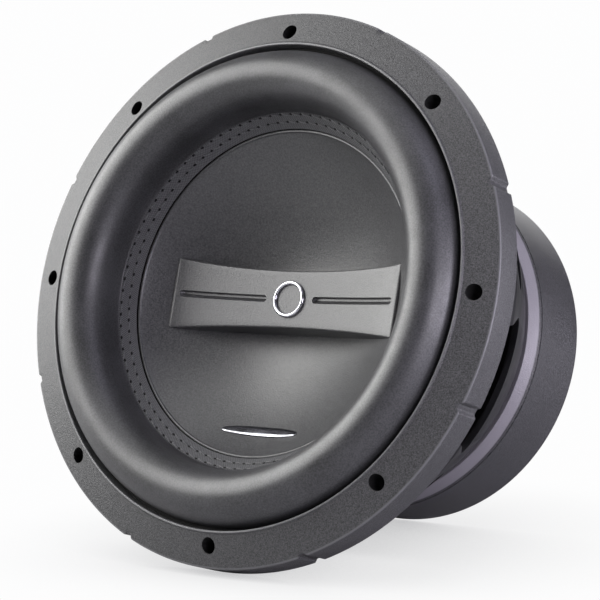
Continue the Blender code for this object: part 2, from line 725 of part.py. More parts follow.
def make_block(name, frame, finish):
    """Moulded block with two button pockets, wire slots and rivet holes."""
    size = (BLOCK_LENGTH, BLOCK_WIDTH, BLOCK_HEIGHT)
    centre = (0.0, 0.0, GAP + BLOCK_HEIGHT / 2.0)
    mesh = box_mesh(f"terminal_block_{name}", size, centre, 1.0)
    block = add_object(f"terminal_block_{name}", mesh, finish, frame, PARTS)
    for side, label in ((-1, "left"), (1, "right")):
        pocket = box_mesh("pocket", (POCKET_WIDTH, POCKET_LENGTH, 20.0),
                          (pocket_x(side), 0.0, POCKET_FLOOR + 10.0))
        cut(block, cutter(f"pocket_cutter_{name}_{label}", pocket, frame))
        slot = box_mesh("slot", (CONTACT_WIDTH + 0.8, 12.0, CONTACT_THICK + 0.8),
                        (pocket_x(side), -BLOCK_WIDTH / 2.0,
                         POCKET_FLOOR + CONTACT_THICK / 2.0 + 0.4))
        cut(block, cutter(f"contact_slot_cutter_{name}_{label}", slot, frame))
    holes = bmesh.new()
    for side in (-1, 1):
        rod(holes, RIVET_R + GAP, -5.0, 25.0, Matrix.Translation((RIVET_X * side * MM, 0, 0)), 12)
    cut(block, cutter(f"rivet_hole_cutter_{name}", bm_to_mesh("rivet_holes", holes), frame))
    return block


def make_button(name, side, frame, finish):
    """A button whose origin is on its push axis, with a finger dish in its top."""
    width = POCKET_WIDTH - 2.0 * BUTTON_CLEARANCE
    length = POCKET_LENGTH - 2.0 * BUTTON_CLEARANCE
    height = BUTTON_TOP - BUTTON_FOOT
    place = Matrix.Translation((pocket_x(side) * MM, 0.0, BUTTON_FOOT * MM))
    mesh = box_mesh(name, (width, length, height), (0.0, 0.0, height / 2.0), 0.7)
    return add_object(name, mesh, finish, frame, PARTS, place)


def make_spring(name, side, frame, finish):
    """Button return spring on the pocket floor, under the rear half of the button."""
    low = POCKET_FLOOR + GAP + SPRING_WIRE_R
    high = BUTTON_FOOT - GAP - SPRING_WIRE_R
    count = SPRING_TURNS * 8
    curve = bpy.data.curves.new(name, "CURVE")
    curve.dimensions = "3D"
    curve.bevel_depth = SPRING_WIRE_R * MM
    curve.bevel_resolution = 1
    curve.use_fill_caps = True
    spline = curve.splines.new("POLY")
    spline.points.add(count)
    for index, point in enumerate(spline.points):
        turn = index / 8.0 * 2.0 * pi
        rise = low + (high - low) * index / count
        point.co = (SPRING_R * MM * cos(turn), SPRING_R * MM * sin(turn), rise * MM, 1.0)
    place = Matrix.Translation((pocket_x(side) * MM, SPRING_Y * MM, 0.0))
    return add_object(name, curve, finish, frame, PARTS, place)


def make_contact(name, side, frame, finish):
    """Brass strip on the pocket floor, with its solder lug outside the block."""
    start = -BLOCK_WIDTH / 2.0 - 6.0
    size = (CONTACT_WIDTH, CONTACT_LENGTH, CONTACT_THICK)
    centre = (0.0, start + CONTACT_LENGTH / 2.0, 0.0)
    height = POCKET_FLOOR + GAP + CONTACT_THICK / 2.0
    place = Matrix.Translation((pocket_x(side) * MM, 0.0, height * MM))
    contact = add_object(name, box_mesh(name, size, centre), finish, frame, PARTS, place)
    hole = bmesh.new()
    rod(hole, 1.2, -3.0, 3.0, Matrix.Translation((0.0, (start + 2.5) * MM, 0.0)), 10)
    cut(contact, cutter(f"{name}_hole_cutter", bm_to_mesh("lug_hole", hole), frame, place))
    return contact


def make_rivet(name, side, frame, finish):
    """Domed rivet down through the block's ear."""
    top = GAP + BLOCK_HEIGHT + GAP
    outline = [
        (0.0, top + 1.3),
        (RIVET_HEAD_R * 0.7, top + 1.0),
        (RIVET_HEAD_R, top),
        (RIVET_R, top),
        (RIVET_R, GAP + 0.7),
        (0.0, GAP + 0.7),
    ]
    place = Matrix.Translation((RIVET_X * side * MM, 0.0, 0.0))
    return turned(name, outline, finish, frame, SCREW_STEPS, place)


def make_lead(name, frame, side, angle, parent, finish):
    """Braided lead from a solder lug, in through a basket window, to the coil former."""
    lug = frame.matrix_local @ (Vector((pocket_x(side), -BLOCK_WIDTH / 2.0 - 7.6, POCKET_FLOOR + 0.7)) * MM)
    out = Vector((cos(radians(angle)), 0.0, sin(radians(angle))))
    rear = Vector((0.0, 1.0, 0.0))
    aside = rear.cross(out) * pocket_x(side)
    rise = lug + (out * LEAD_RISE_OUT - rear * LEAD_RISE_FORWARD) * MM
    dip = (out * LEAD_DIP_R + aside * 0.8 + rear * LEAD_DIP_DEPTH) * MM
    end = (out * FORMER_OUTER_R + aside * 0.5).normalized() * (FORMER_OUTER_R + GAP + LEAD_R)
    end = (end + rear * LEAD_END_DEPTH) * MM
    points = []
    for index in range(LEAD_POINTS + 1):
        t = index / LEAD_POINTS
        weights = ((1 - t) ** 3, 3 * t * (1 - t) ** 2, 3 * t * t * (1 - t), t**3)
        points.append(sum((w * p for w, p in zip(weights, (lug, rise, dip, end))), Vector()))
    curve = bpy.data.curves.new(name, "CURVE")
    curve.dimensions = "3D"
    curve.bevel_depth = LEAD_R * MM
    curve.bevel_resolution = 1
    curve.use_fill_caps = True
    spline = curve.splines.new("POLY")
    spline.points.add(LEAD_POINTS)
    for point, place in zip(spline.points, points):
        point.co = (*place, 1.0)
    return add_object(name, curve, finish, parent, PARTS)


# ---------------------------------------------------------------- assembly

clear_scene()
PARTS = new_collection("car_subwoofer_speaker")
CUTTERS = new_collection("cutters")

rubber = material("surround_rubber", (0.020, 0.020, 0.022), 0.42)
moulded = material("trim_plastic", (0.055, 0.056, 0.060), 0.62)
steel = material("basket_steel", (0.012, 0.012, 0.013), 0.45, 0.3)
boot_skin = material("boot_plastic", (0.050, 0.050, 0.053), 0.55)
cap_skin = material("cap_plastic", (0.040, 0.040, 0.043), 0.48)
chrome = material("chrome", (0.75, 0.76, 0.78), 0.12, 1.0)
pulp = material("cone_pulp", (0.030, 0.028, 0.026), 0.85)
former_film = material("former_film", (0.35, 0.18, 0.06), 0.40)
copper = material("copper_wire", (0.72, 0.30, 0.13), 0.30, 1.0)
cloth = material("spider_cloth", (0.30, 0.20, 0.10), 0.90)
fibre = material("fibre_board", (0.25, 0.17, 0.09), 0.85)
ferrite = material("ferrite", (0.045, 0.043, 0.042), 0.65)
plated = material("plated_steel", (0.55, 0.55, 0.56), 0.30, 1.0)
screw_black = material("black_steel", (0.030, 0.030, 0.032), 0.35, 0.9)
mesh_black = material("screen_steel", (0.020, 0.020, 0.020), 0.45, 0.6)
block_black = material("terminal_plastic", (0.016, 0.016, 0.017), 0.45)
red_plastic = material("red_plastic", (0.60, 0.020, 0.020), 0.35)
black_plastic = material("black_plastic", (0.022, 0.022, 0.024), 0.35)
spring_steel = material("spring_steel", (0.60, 0.60, 0.62), 0.25, 1.0)
brass = material("brass", (0.78, 0.57, 0.23), 0.30, 1.0)
braid = material("tinsel_braid", (0.62, 0.45, 0.28), 0.45, 0.8)

speaker = add_empty(
    "speaker", None, Matrix.Translation((0.0, -(FRONT_DEPTH + REAR_DEPTH) / 2.0 * MM, 0.0)))
diaphragm = add_empty("cone_travel_axis", speaker, Matrix())

make_trim_ring(speaker, moulded)
make_basket(speaker, steel)
make_screws(speaker, screw_black)
make_surround(speaker, rubber)
make_spider(speaker, cloth)
make_spider_ring(speaker, fibre)

make_cone(diaphragm, pulp)
make_dust_cap(diaphragm, cap_skin)
make_badge(diaphragm, chrome)
make_nameplate(diaphragm, chrome)
make_voice_coil(diaphragm, former_film, copper)

make_top_plate(speaker, plated)
yoke_front = make_magnets(speaker, ferrite)
make_yoke(speaker, plated, yoke_front)
make_boot(speaker, boot_skin)
make_vent_screen(speaker, mesh_black)

for label, turn_angle in TERMINAL_ANGLES.items():
    block_frame = terminal_frame(label, turn_angle, speaker)
    make_block(label, block_frame, block_black)
    for pole, pole_side, plastic in (("positive", -1, red_plastic), ("negative", 1, black_plastic)):
        make_button(f"terminal_button_{label}_{pole}", pole_side, block_frame, plastic)
        make_spring(f"terminal_spring_{label}_{pole}", pole_side, block_frame, spring_steel)
        make_contact(f"terminal_contact_{label}_{pole}", pole_side, block_frame, brass)
        make_rivet(f"terminal_rivet_{label}_{pole}", pole_side, block_frame, plated)
        make_lead(f"tinsel_lead_{label}_{pole}", block_frame, pole_side, turn_angle, speaker, braid)
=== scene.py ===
"""The looks of the car subwoofer speaker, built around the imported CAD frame.

Every turned piece is made again at a fine resolution from a (radius, depth) outline. Depth is the
distance behind the plane of the screw holes, in metres, and the speaker looks along -Y.
"""

import json
from math import atan2, cos, degrees, hypot, pi, radians, sin, sqrt, tan

import bmesh
import bpy
import numpy as np
from mathutils import Euler, Matrix, Vector

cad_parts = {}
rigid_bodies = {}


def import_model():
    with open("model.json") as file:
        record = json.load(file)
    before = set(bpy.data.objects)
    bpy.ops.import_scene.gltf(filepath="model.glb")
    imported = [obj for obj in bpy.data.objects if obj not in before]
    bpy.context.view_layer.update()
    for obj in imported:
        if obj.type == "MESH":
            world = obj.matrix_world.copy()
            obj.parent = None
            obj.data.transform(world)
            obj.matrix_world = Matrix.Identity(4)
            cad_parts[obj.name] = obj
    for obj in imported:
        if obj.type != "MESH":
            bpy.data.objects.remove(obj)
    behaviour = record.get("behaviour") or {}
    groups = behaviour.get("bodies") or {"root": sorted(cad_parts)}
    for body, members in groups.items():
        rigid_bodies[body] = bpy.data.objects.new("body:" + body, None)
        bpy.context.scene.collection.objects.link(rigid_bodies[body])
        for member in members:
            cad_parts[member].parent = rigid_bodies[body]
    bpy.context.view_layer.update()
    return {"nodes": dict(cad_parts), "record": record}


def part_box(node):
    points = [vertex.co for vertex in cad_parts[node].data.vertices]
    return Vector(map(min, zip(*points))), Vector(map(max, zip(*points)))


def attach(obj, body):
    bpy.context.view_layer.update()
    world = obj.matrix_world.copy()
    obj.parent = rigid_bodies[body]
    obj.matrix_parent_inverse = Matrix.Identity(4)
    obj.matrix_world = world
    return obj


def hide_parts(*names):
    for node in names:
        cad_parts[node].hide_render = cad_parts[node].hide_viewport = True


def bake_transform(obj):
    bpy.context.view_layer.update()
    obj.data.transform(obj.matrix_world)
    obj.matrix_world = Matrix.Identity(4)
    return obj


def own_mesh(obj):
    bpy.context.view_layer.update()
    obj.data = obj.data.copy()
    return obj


for leftover in list(bpy.data.objects):
    bpy.data.objects.remove(leftover, do_unlink=True)

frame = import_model()

MM = 0.001

# ---- Read from the frame
SEAT_DEPTH = 0.0219
TRIM_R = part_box("trim_ring")[1].x
HOLE_PLANE_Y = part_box("trim_ring")[1].y - SEAT_DEPTH
REAR_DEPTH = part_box("magnet_boot")[1].y - HOLE_PLANE_Y
BOOT_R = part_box("magnet_boot")[1].x
FLANGE_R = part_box("basket")[1].x
FORMER_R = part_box("voice_coil_former")[1].x
SPIDER_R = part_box("spider")[1].x

# ---- Trim ring
LIP_R, LIP_DEPTH = 0.1387, -0.0019
EDGE_DEPTH, SHELF_DEPTH = 0.0045, 0.0054
HOLE_COUNT, HOLE_CIRCLE_R, TRIM_HOLE_R, FLANGE_HOLE_R = 8, 0.147, 0.0045, 0.00325
HOLE_STEP = 360.0 / HOLE_COUNT
NOTCH_DEEP, NOTCH_HALF, NOTCH_FLOOR = 0.0020, 0.0036, 0.0020
LAND_R, LAND_INNER_R, LAND_DEPTH = 0.1415, 0.1335, 0.0082

# ---- Surround, cone and cap
ROLL_R, ROLL_DEPTH, ROLL_HALF, ROLL_HIGH = 0.1204, 0.0040, 0.0158, 0.0184
SURROUND_THICK, SURROUND_SEAT = 0.0020, 0.0057
SKIRT_INNER_R, SKIRT_OUTER_R, CONE_OUTER_R = 0.0960, 0.1036, 0.1044
SKIRT_SLOPE, SKIRT_R, SKIRT_DEPTH = 0.82, 0.1044, 0.0124
STITCH_ROWS = (0.1026, 0.0990)
STITCH_COUNT = 90
STITCH_FILL, STITCH_HIGH, STITCH_SLANT = 0.74, 0.0005, 0.0008
STITCH_THICK, NEEDLE_R, NEEDLE_SQUEEZE = 0.00050, 0.00115, 0.55
DISH_RIM_R, DISH_RIM_DEPTH = 0.0952, 0.0204
DISH_SPHERE_R, DISH_DEPTH = 0.140, 0.057
BAR_HALF_LENGTH, BAR_HALF_HEIGHT, BAR_FLARE = 0.0797, 0.0167, 0.0038
BAR_END_RISE, BAR_END_ROUND = 0.0018, 0.0030
BAR_DEPTH, BAR_BOW, BAR_SPAN, BAR_DRAFT = 0.0395, 0.0065, 0.075, 0.0012
BAR_ROUND = 0.0011
SLOT_START, SLOT_END, SLOT_HALF, SLOT_DEEP = 0.0163, 0.0746, 0.0019, 0.0026
BADGE_R, BADGE_HALF = 0.0096, 0.0012

# ---- Basket
CUP_TOP_R, CUP_TOP_DEPTH = 0.124, 0.088
CUP_BASE_R, CUP_BASE_DEPTH = 0.102, 0.132
KNEE_R, KNEE_DEPTH = 0.1375, 0.060
WALL_TOP_R, WALL = 0.1395, 0.0032
BASE_R, BASE_HOLE_R, BASE_FRONT, BASE_REAR = 0.096, 0.060, 0.1335, 0.1375
LEDGE_R, LEDGE_DEPTH = 0.086, 0.1071
SPOKE_ANGLE, WINDOW_COUNT = 5.1, 8
WINDOW_TOP, WINDOW_BOTTOM, WINDOW_CORNER = (0.028, 0.028), (0.043, 0.090), 0.008
WINDOW_CUT_START, WINDOW_CUT_LONG = 0.095, 0.09

# ---- Spider and motor
SPIDER_DEPTH, SPIDER_WAVES, SPIDER_SWING = 0.106, 6, 0.0015
BOOT_LIP_R, SHOULDER_R, SHOULDER_DEPTH, BOOT_WALL = 0.0968, 0.1050, 0.1442, 0.0030
GROOVE_R, GROOVE_HALF, GROOVE_DEEP = 0.085, 0.0030, 0.0009
RECESS_R, RECESS_DEEP, BOOT_HOLE_R = 0.030, 0.0007, 0.0200
POLE_R, POLE_VENT_R, YOKE_R, YOKE_THICK = 0.036, 0.014, 0.098, 0.0095

# ---- Terminals and leads
BLOCK_ANGLES = {"top": 90.0 + SPOKE_ANGLE, "bottom": 225.0 + SPOKE_ANGLE}
BLOCK_R, BLOCK_DEPTH, BLOCK_TILT = 0.1125, 0.111, atan2(0.5, 1.0)
POCKET_X, LUG_REACH, LUG_HIGH = 0.011, 0.0196, 0.0043
LEAD_R, LEAD_RISE_OUT, LEAD_RISE_FORWARD = 0.0011, 0.010, 0.024
LEAD_DIP_R, LEAD_DIP_DEPTH, LEAD_END_DEPTH, LEAD_BEND_R = 0.075, 0.070, 0.086, 0.105
SPRING_R, SPRING_WIRE_R, SPRING_TURNS, SPRING_Y = 0.0030, 0.00045, 3, 0.0032
SPRING_FLOOR, SPRING_LOW, SPRING_HIGH, SPRING_KEEP = 0.0036, 0.00435, 0.00785, 0.28
TERMINALS = [
    (end, pole, angle, side)
    for end, angle in BLOCK_ANGLES.items()
    for pole, side in (("positive", -1.0), ("negative", 1.0))
]

FINE, MEDIUM = 256, 128


# ---------------------------------------------------------------- mesh helpers

def y_of(depth):
    """The world Y of a depth behind the plane of the screw holes."""
    return HOLE_PLANE_Y + depth


def new_object(name, mesh):
    obj = bpy.data.objects.new(name, mesh)
    bpy.context.scene.collection.objects.link(obj)
    return obj


def make_piece(mesh, finish):
    """A new piece in a finish, which is also its material slot."""
    mesh.materials.append(FINISHES[finish])
    return new_object(mesh.name, mesh)


def shade(obj, angle):
    obj.data.shade_smooth()
    obj.data.set_sharp_from_angle(angle=radians(angle))


def settle(obj, angle, body, node=None):
    """Shades a finished piece, lets it ride on a body and stand for a CAD node."""
    shade(obj, angle)
    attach(obj, body)
    if node:
        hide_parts(node)


def finished_mesh(name, bm):
    """The bmesh as a mesh with its faces turned outward."""
    bmesh.ops.recalc_face_normals(bm, faces=bm.faces)
    if bm.calc_volume(signed=True) < 0.0:
        bmesh.ops.reverse_faces(bm, faces=bm.faces)
    mesh = bpy.data.meshes.new(name)
    bm.to_mesh(mesh)
    bm.free()
    return mesh


def apply_modifiers(obj):
    graph = bpy.context.evaluated_depsgraph_get()
    mesh = bpy.data.meshes.new_from_object(obj.evaluated_get(graph))
    obj.modifiers.clear()
    obj.data = mesh


def grid_mesh(name, rings, wrap_section):
    """A tube-like mesh from an array [around, section, xyz] that closes around."""
    around, section, _ = rings.shape
    index = np.arange(around * section).reshape(around, section)
    following = np.roll(index, -1, axis=0)
    if wrap_section:
        a, b = index, np.roll(index, -1, axis=1)
        c, d = np.roll(following, -1, axis=1), following
    else:
        a, b = index[:, :-1], index[:, 1:]
        c, d = following[:, 1:], following[:, :-1]
    faces = np.stack([a, b, c, d], axis=-1).reshape(-1, 4)
    mesh = bpy.data.meshes.new(name)
    mesh.from_pydata(rings.reshape(-1, 3).tolist(), [], faces.tolist())
    bm = bmesh.new()
    bm.from_mesh(mesh)
    bmesh.ops.remove_doubles(bm, verts=bm.verts, dist=1e-7)
    bpy.data.meshes.remove(mesh)
    return finished_mesh(name, bm)


def revolved_mesh(name, outline, steps=FINE, angles=None, reshape=None):
    """A solid turned about the speaker's axis from a closed (radius, depth) outline.

    An outline that starts and ends at radius 0 is closed by the axis. reshape(radius, angle) may
    change the radii, for notches.
    """
    angles = np.linspace(0.0, 2.0 * pi, steps, endpoint=False) if angles is None else angles
    points = np.array(outline, float)
    radius = np.repeat(points[None, :, 0], len(angles), axis=0)
    if reshape:
        radius = reshape(radius, angles[:, None])
    rings = np.stack([
        radius * np.cos(angles)[:, None],
        np.repeat(points[None, :, 1], len(angles), axis=0) + HOLE_PLANE_Y,
        radius * np.sin(angles)[:, None],
    ], axis=-1)
    return grid_mesh(name, rings, points[0, 0] > 1e-9)


def fillet(outline, closed=True):
    """Rounds the corners of (radius, depth, fillet) points with arcs."""
    made = []
    count = len(outline)
    for index, (x, y, size) in enumerate(outline):
        if size <= 0.0 or (not closed and index in (0, count - 1)):
            made.append((x, y))
            continue
        corner = Vector((x, y))
        before = Vector(outline[index - 1][:2]) - corner
        after = Vector(outline[(index + 1) % count][:2]) - corner
        half = before.angle(after) / 2.0
        run = min(size / max(tan(half), 1e-6), before.length * 0.49, after.length * 0.49)
        radius = run * tan(half)
        middle = (before.normalized() + after.normalized()).normalized()
        centre = corner + middle * (radius / sin(half))
        start = corner + before.normalized() * run - centre
        end = corner + after.normalized() * run - centre
        swing = start.angle(end)
        turn = 1.0 if start.cross(end) > 0.0 else -1.0
        steps = max(3, int(degrees(swing) / 15.0) + 1)
        for step in range(steps + 1):
            spin = turn * swing * step / steps
            made.append((
                centre.x + start.x * cos(spin) - start.y * sin(spin),
                centre.y + start.x * sin(spin) + start.y * cos(spin),
            ))
    return made


def arc(centre, radius_x, radius_y, start, end, count):
    """Points along an ellipse between two angles in degrees."""
    return [
        (centre[0] + radius_x * cos(radians(a)), centre[1] + radius_y * sin(radians(a)))
        for a in np.linspace(start, end, count)
    ]


def thickened(front, thickness):
    """A closed outline between an open line and its copy moved back along its normals."""
    line = np.array(front)
    slope = np.gradient(line, axis=0)
    slope /= np.linalg.norm(slope, axis=1)[:, None]
    back = line + np.stack([-slope[:, 1], slope[:, 0]], axis=1) * thickness
    return [tuple(p) for p in line] + [tuple(p) for p in back[::-1]]


def run_along(points):
    """The distance along a line to each of its points."""
    return np.concatenate([[0.0], np.cumsum(np.linalg.norm(np.diff(points, axis=0), axis=1))])


def resampled(points, count):
    """The line's points spread evenly over its length."""
    run = run_along(points)
    at = np.linspace(0.0, run[-1], count)
    return np.stack([np.interp(at, run, points[:, axis]) for axis in (0, 1)], axis=1)


def around_axis(angle, radius, depth):
    """A frame on the speaker: local X is tangential, local Y points to the rear, local Z out."""
    out = Vector((cos(radians(angle)), 0.0, sin(radians(angle))))
    rear = Vector((0.0, 1.0, 0.0))
    side = rear.cross(out)
    place = out * radius + rear * y_of(depth)
    return Matrix((
        (side.x, rear.x, out.x, place.x),
        (side.y, rear.y, out.y, place.y),
        (side.z, rear.z, out.z, place.z),
        (0.0, 0.0, 0.0, 1.0),
    ))


def along_depth(angle, radius):
    """A frame whose local Z runs to the rear, at an angle and radius from the axis."""
    place = Vector((radius * cos(radians(angle)), y_of(0.0), radius * sin(radians(angle))))
    return Matrix.Translation(place) @ Matrix.Rotation(radians(-90.0), 4, "X")


def lathe(bm, profile, place, steps):
    """Adds a closed turned solid about local Z to a bmesh, from (radius, height) axis to axis."""
    rings = []
    for radius, height in profile:
        if radius < 1e-9:
            rings.append([bm.verts.new(place @ Vector((0.0, 0.0, height)))])
            continue
        ring = []
        for step in range(steps):
            turn = 2.0 * pi * step / steps
            ring.append(bm.verts.new(place @ Vector((radius * cos(turn), radius * sin(turn), height))))
        rings.append(ring)
    for low, high in zip(rings, rings[1:]):
        for step in range(steps):
            after = (step + 1) % steps
            corners = [low[step % len(low)], low[after % len(low)],
                       high[after % len(high)], high[step % len(high)]]
            unique = list(dict.fromkeys(corners))
            if len(unique) > 2:
                bm.faces.new(unique)


def screw_holes(radius, start, end, sides):
    """Eight round cutters on the hole circle, between two depths."""
    bm = bmesh.new()
    profile = [(0.0, start), (radius, start), (radius, end), (0.0, end)]
    for index in range(HOLE_COUNT):
        lathe(bm, profile, along_depth(90.0 + HOLE_STEP * index, HOLE_CIRCLE_R), sides)
    return finished_mesh("holes", bm)


def circle(bm, centre, side, other, sides):
    """A ring of vertices around a point, spanned by two half axes."""
    turns = [2.0 * pi * k / sides for k in range(sides)]
    return [bm.verts.new(centre + side * cos(turn) + other * sin(turn)) for turn in turns]


def bridge(bm, rings):
    """Joins each closed ring of vertices to the next one with quads."""
    for low, high in zip(rings, rings[1:]):
        for k in range(len(low)):
            after = (k + 1) % len(low)
            bm.faces.new((low[k], low[after], high[after], high[k]))


def prism_mesh(name, outline, low, high):
    """A flat outline in local XY, between two local Z heights."""
    bm = bmesh.new()
    verts = [bm.verts.new((x, y, low)) for x, y in outline]
    base = bm.faces.new(verts)
    made = bmesh.ops.extrude_face_region(bm, geom=[base])["geom"]
    lifted = [item for item in made if isinstance(item, bmesh.types.BMVert)]
    bmesh.ops.translate(bm, verts=lifted, vec=(0.0, 0.0, high - low))
    return finished_mesh(name, bm)


def cut(target, tool_mesh, matrix=Matrix(), operation="DIFFERENCE"):
    """Cuts or joins the target with a mesh, and applies it."""
    tool = new_object("tool", tool_mesh)
    tool.matrix_world = matrix
    boolean = target.modifiers.new("cut", "BOOLEAN")
    boolean.operation = operation
    boolean.solver = "EXACT"
    boolean.object = tool
    bpy.context.view_layer.update()
    apply_modifiers(target)
    bpy.data.objects.remove(tool)


def soften(obj, width, angle):
    """Rounds the sharp edges of a finished mesh."""
    bevel = obj.modifiers.new("soften", "BEVEL")
    bevel.width = width
    bevel.segments = 2
    bevel.limit_method = "ANGLE"
    bevel.angle_limit = radians(angle)
    bevel.use_clamp_overlap = True
    bevel.miter_outer = "MITER_ARC"
    apply_modifiers(obj)


# ---------------------------------------------------------------- materials

class Finish:
    """A node material made from the object's own coordinates."""

    def __init__(self, name):
        self.material = bpy.data.materials.new(name)
        self.material.use_nodes = True
        self.tree = self.material.node_tree
        self.shader = self.tree.nodes["Principled BSDF"]
        self.place = self.node("ShaderNodeTexCoord").outputs["Object"]

    def node(self, kind, **settings):
        made = self.tree.nodes.new(kind)
        for key, value in settings.items():
            setattr(made, key, value)
        return made

    def link(self, source, target):
        self.tree.links.new(source, target)

    def noise(self, scale, detail=3.0, roughness=0.5, place=None):
        made = self.node("ShaderNodeTexNoise")
        made.inputs["Scale"].default_value = scale
        made.inputs["Detail"].default_value = detail
        made.inputs["Roughness"].default_value = roughness
        self.link(place or self.place, made.inputs["Vector"])
        return made.outputs["Fac"]

    def cells(self, scale, feature="F1"):
        made = self.node("ShaderNodeTexVoronoi", feature=feature)
        made.inputs["Scale"].default_value = scale
        self.link(self.place, made.inputs["Vector"])
        return made.outputs["Distance"]

    def feed(self, socket, value):
        """Sets a socket to a number or a colour, or links it to another socket."""
        if isinstance(value, tuple):
            socket.default_value = (*value, 1.0)
        elif isinstance(value, (int, float)):
            socket.default_value = value
        else:
            self.link(value, socket)

    def math(self, operation, first, second=0.5):
        made = self.node("ShaderNodeMath", operation=operation)
        self.feed(made.inputs[0], first)
        self.feed(made.inputs[1], second)
        return made.outputs[0]

    def times(self, first, second):
        return self.math("MULTIPLY", first, second)

    def wave(self, value, factor):
        return self.math("SINE", self.times(value, factor))

    def spread(self, value, low, high, to_low=0.0, to_high=1.0):
        """Maps value from low..high onto to_low..to_high, clamped."""
        made = self.node("ShaderNodeMapRange")
        for key, number in (("From Min", low), ("From Max", high),
                            ("To Min", to_low), ("To Max", to_high)):
            made.inputs[key].default_value = number
        self.link(value, made.inputs["Value"])
        return made.outputs["Result"]

    def mix(self, factor, first, second):
        made = self.node("ShaderNodeMix", data_type="RGBA")
        self.link(factor, made.inputs["Factor"])
        self.feed(made.inputs[6], first)
        self.feed(made.inputs[7], second)
        return made.outputs[2]

    def tint(self, value, low, high, first, second):
        """Goes from the first colour to the second as value goes from low to high."""
        return self.mix(self.spread(value, low, high), first, second)

    def bump(self, height, distance, strength=1.0, below=None):
        made = self.node("ShaderNodeBump")
        made.inputs["Strength"].default_value = strength
        made.inputs["Distance"].default_value = distance
        self.link(height, made.inputs["Height"])
        if below:
            self.link(below, made.inputs["Normal"])
        return made.outputs["Normal"]

    def axes(self):
        split = self.node("ShaderNodeSeparateXYZ")
        self.link(self.place, split.inputs[0])
        return split.outputs

    def polar(self):
        """(radius from the speaker's axis, angle around it, depth) of the shaded point."""
        x, y, z = self.axes()
        radius = self.math("SQRT", self.math("ADD", self.times(x, x), self.times(z, z)))
        return radius, self.math("ARCTAN2", z, x), y

    def done(self, color, roughness, normal=None, metallic=0.0, specular=0.5, coat=0.0, sheen=0.0):
        for key, value in (("Base Color", color), ("Roughness", roughness), ("Metallic", metallic),
                           ("Specular IOR Level", specular), ("Coat Weight", coat),
                           ("Sheen Weight", sheen)):
            self.feed(self.shader.inputs[key], value)
        if normal:
            self.link(normal, self.shader.inputs["Normal"])
        return self

    def repaint(self, zone, color, roughness):
        """Blends another colour and roughness in over a zone of the finish."""
        for key, value in (("Base Color", color), ("Roughness", (roughness,) * 3)):
            socket = self.shader.inputs[key]
            self.link(self.mix(zone, socket.links[0].from_socket, value), socket)
        return self


def grained_plastic(name, dark, light, grain, roughness, deep, specular=0.5):
    """Moulded plastic or rubber with a fine spark-eroded grain."""
    f = Finish(name)
    coarse = f.noise(grain, 4.0, 0.65)
    fine = f.cells(grain * 1.3)
    cloud = f.noise(18.0, 3.0)
    speckle = f.times(f.spread(coarse, 0.35, 0.68), f.spread(cloud, 0.2, 0.8, 0.8, 1.0))
    color = f.mix(speckle, dark, light)
    rough = f.spread(coarse, 0.3, 0.7, roughness - 0.07, roughness + 0.09)
    normal = f.bump(fine, deep * 0.7, 0.6, f.bump(coarse, deep, 0.7))
    return f.done(color, rough, normal, specular=specular)


def trim_plastic(name):
    """Grained plastic whose lip and outer front edge carry a paler, smoother band: a painted highlight line.
    """
    f = grained_plastic(name, (0.018, 0.018, 0.019), (0.100, 0.100, 0.103), 1300.0, 0.46, 0.00022)
    radius, _, depth = f.polar()
    # Painted highlight: the outer front edge and the lip are painted paler, and made smoother.
    rim = f.times(f.spread(radius, TRIM_R - 1.3 * MM, TRIM_R - 0.5 * MM),
                  f.spread(depth, y_of(EDGE_DEPTH + 0.9 * MM), y_of(EDGE_DEPTH + 0.2 * MM)))
    lip = f.spread(radius, LIP_R + 1.6 * MM, LIP_R + 0.9 * MM)
    return f.repaint(f.math("MAXIMUM", rim, lip), (0.13, 0.13, 0.135), 0.30)


def boot_plastic(name):
    """Grained moulding whose front shoulder carries a paler, smoother band: a painted highlight."""
    f = grained_plastic(name, (0.015, 0.015, 0.016), (0.080, 0.079, 0.084), 1000.0, 0.44, 0.00018)
    radius, _, depth = f.polar()
    # Painted highlight: a paler, smoother band on the front shoulder.
    shoulder = f.times(f.spread(radius, BOOT_R - 0.2 * MM, BOOT_R - 0.7 * MM),
                       f.spread(depth, y_of(SHOULDER_DEPTH + 0.4 * MM), y_of(SHOULDER_DEPTH - 0.1 * MM)))
    return f.repaint(shoulder, (0.21, 0.20, 0.22), 0.36)


def satin_rubber(name, base, sheen_color, roughness):
    """Smooth moulded rubber: soft clouds of bloom and a very fine skin."""
    f = Finish(name)
    cloud = f.noise(30.0, 4.0)
    skin = f.noise(1100.0, 3.0)
    bloom = f.math("ADD", cloud, f.times(skin, 2.0))
    color = f.tint(bloom, 1.15, 1.9, base, sheen_color)
    rough = f.spread(f.noise(140.0, 4.0), 0.3, 0.7, roughness - 0.03, roughness + 0.04)
    return f.done(color, rough, f.bump(skin, 0.00009, 0.5), specular=0.4)


def surround_rubber(name):
    """The roll's rubber, with painted shade: its outer edge behind the trim ring's lip is painted near black
    and matt, for the shade in the gap.
    """
    f = satin_rubber(name, (0.015, 0.015, 0.016), (0.055, 0.055, 0.059), 0.42)
    radius, _, _ = f.polar()
    # Painted shade: the outer edge in the gap behind the lip is painted near black.
    gap_shade = f.spread(radius, ROLL_R + ROLL_HALF - 1.2 * MM, ROLL_R + ROLL_HALF + 0.6 * MM)
    f.shader.inputs["Specular IOR Level"].default_value = 0.7
    return f.repaint(gap_shade, (0.004, 0.004, 0.004), 0.9)


def stitched_cloth(name, dark, light):
    """Woven band under the stitches: threads that run around the axis and across it."""
    f = Finish(name)
    radius, angle, _ = f.polar()
    threads = f.times(f.wave(radius, 2.0 * pi / (1.3 * MM)), f.wave(angle, 480.0))
    weave = f.math("ADD", threads, f.noise(900.0, 3.0))
    color = f.tint(weave, -0.6, 1.5, dark, light)
    return f.done(color, 0.62, f.bump(weave, 0.00008, 0.6), specular=0.4)


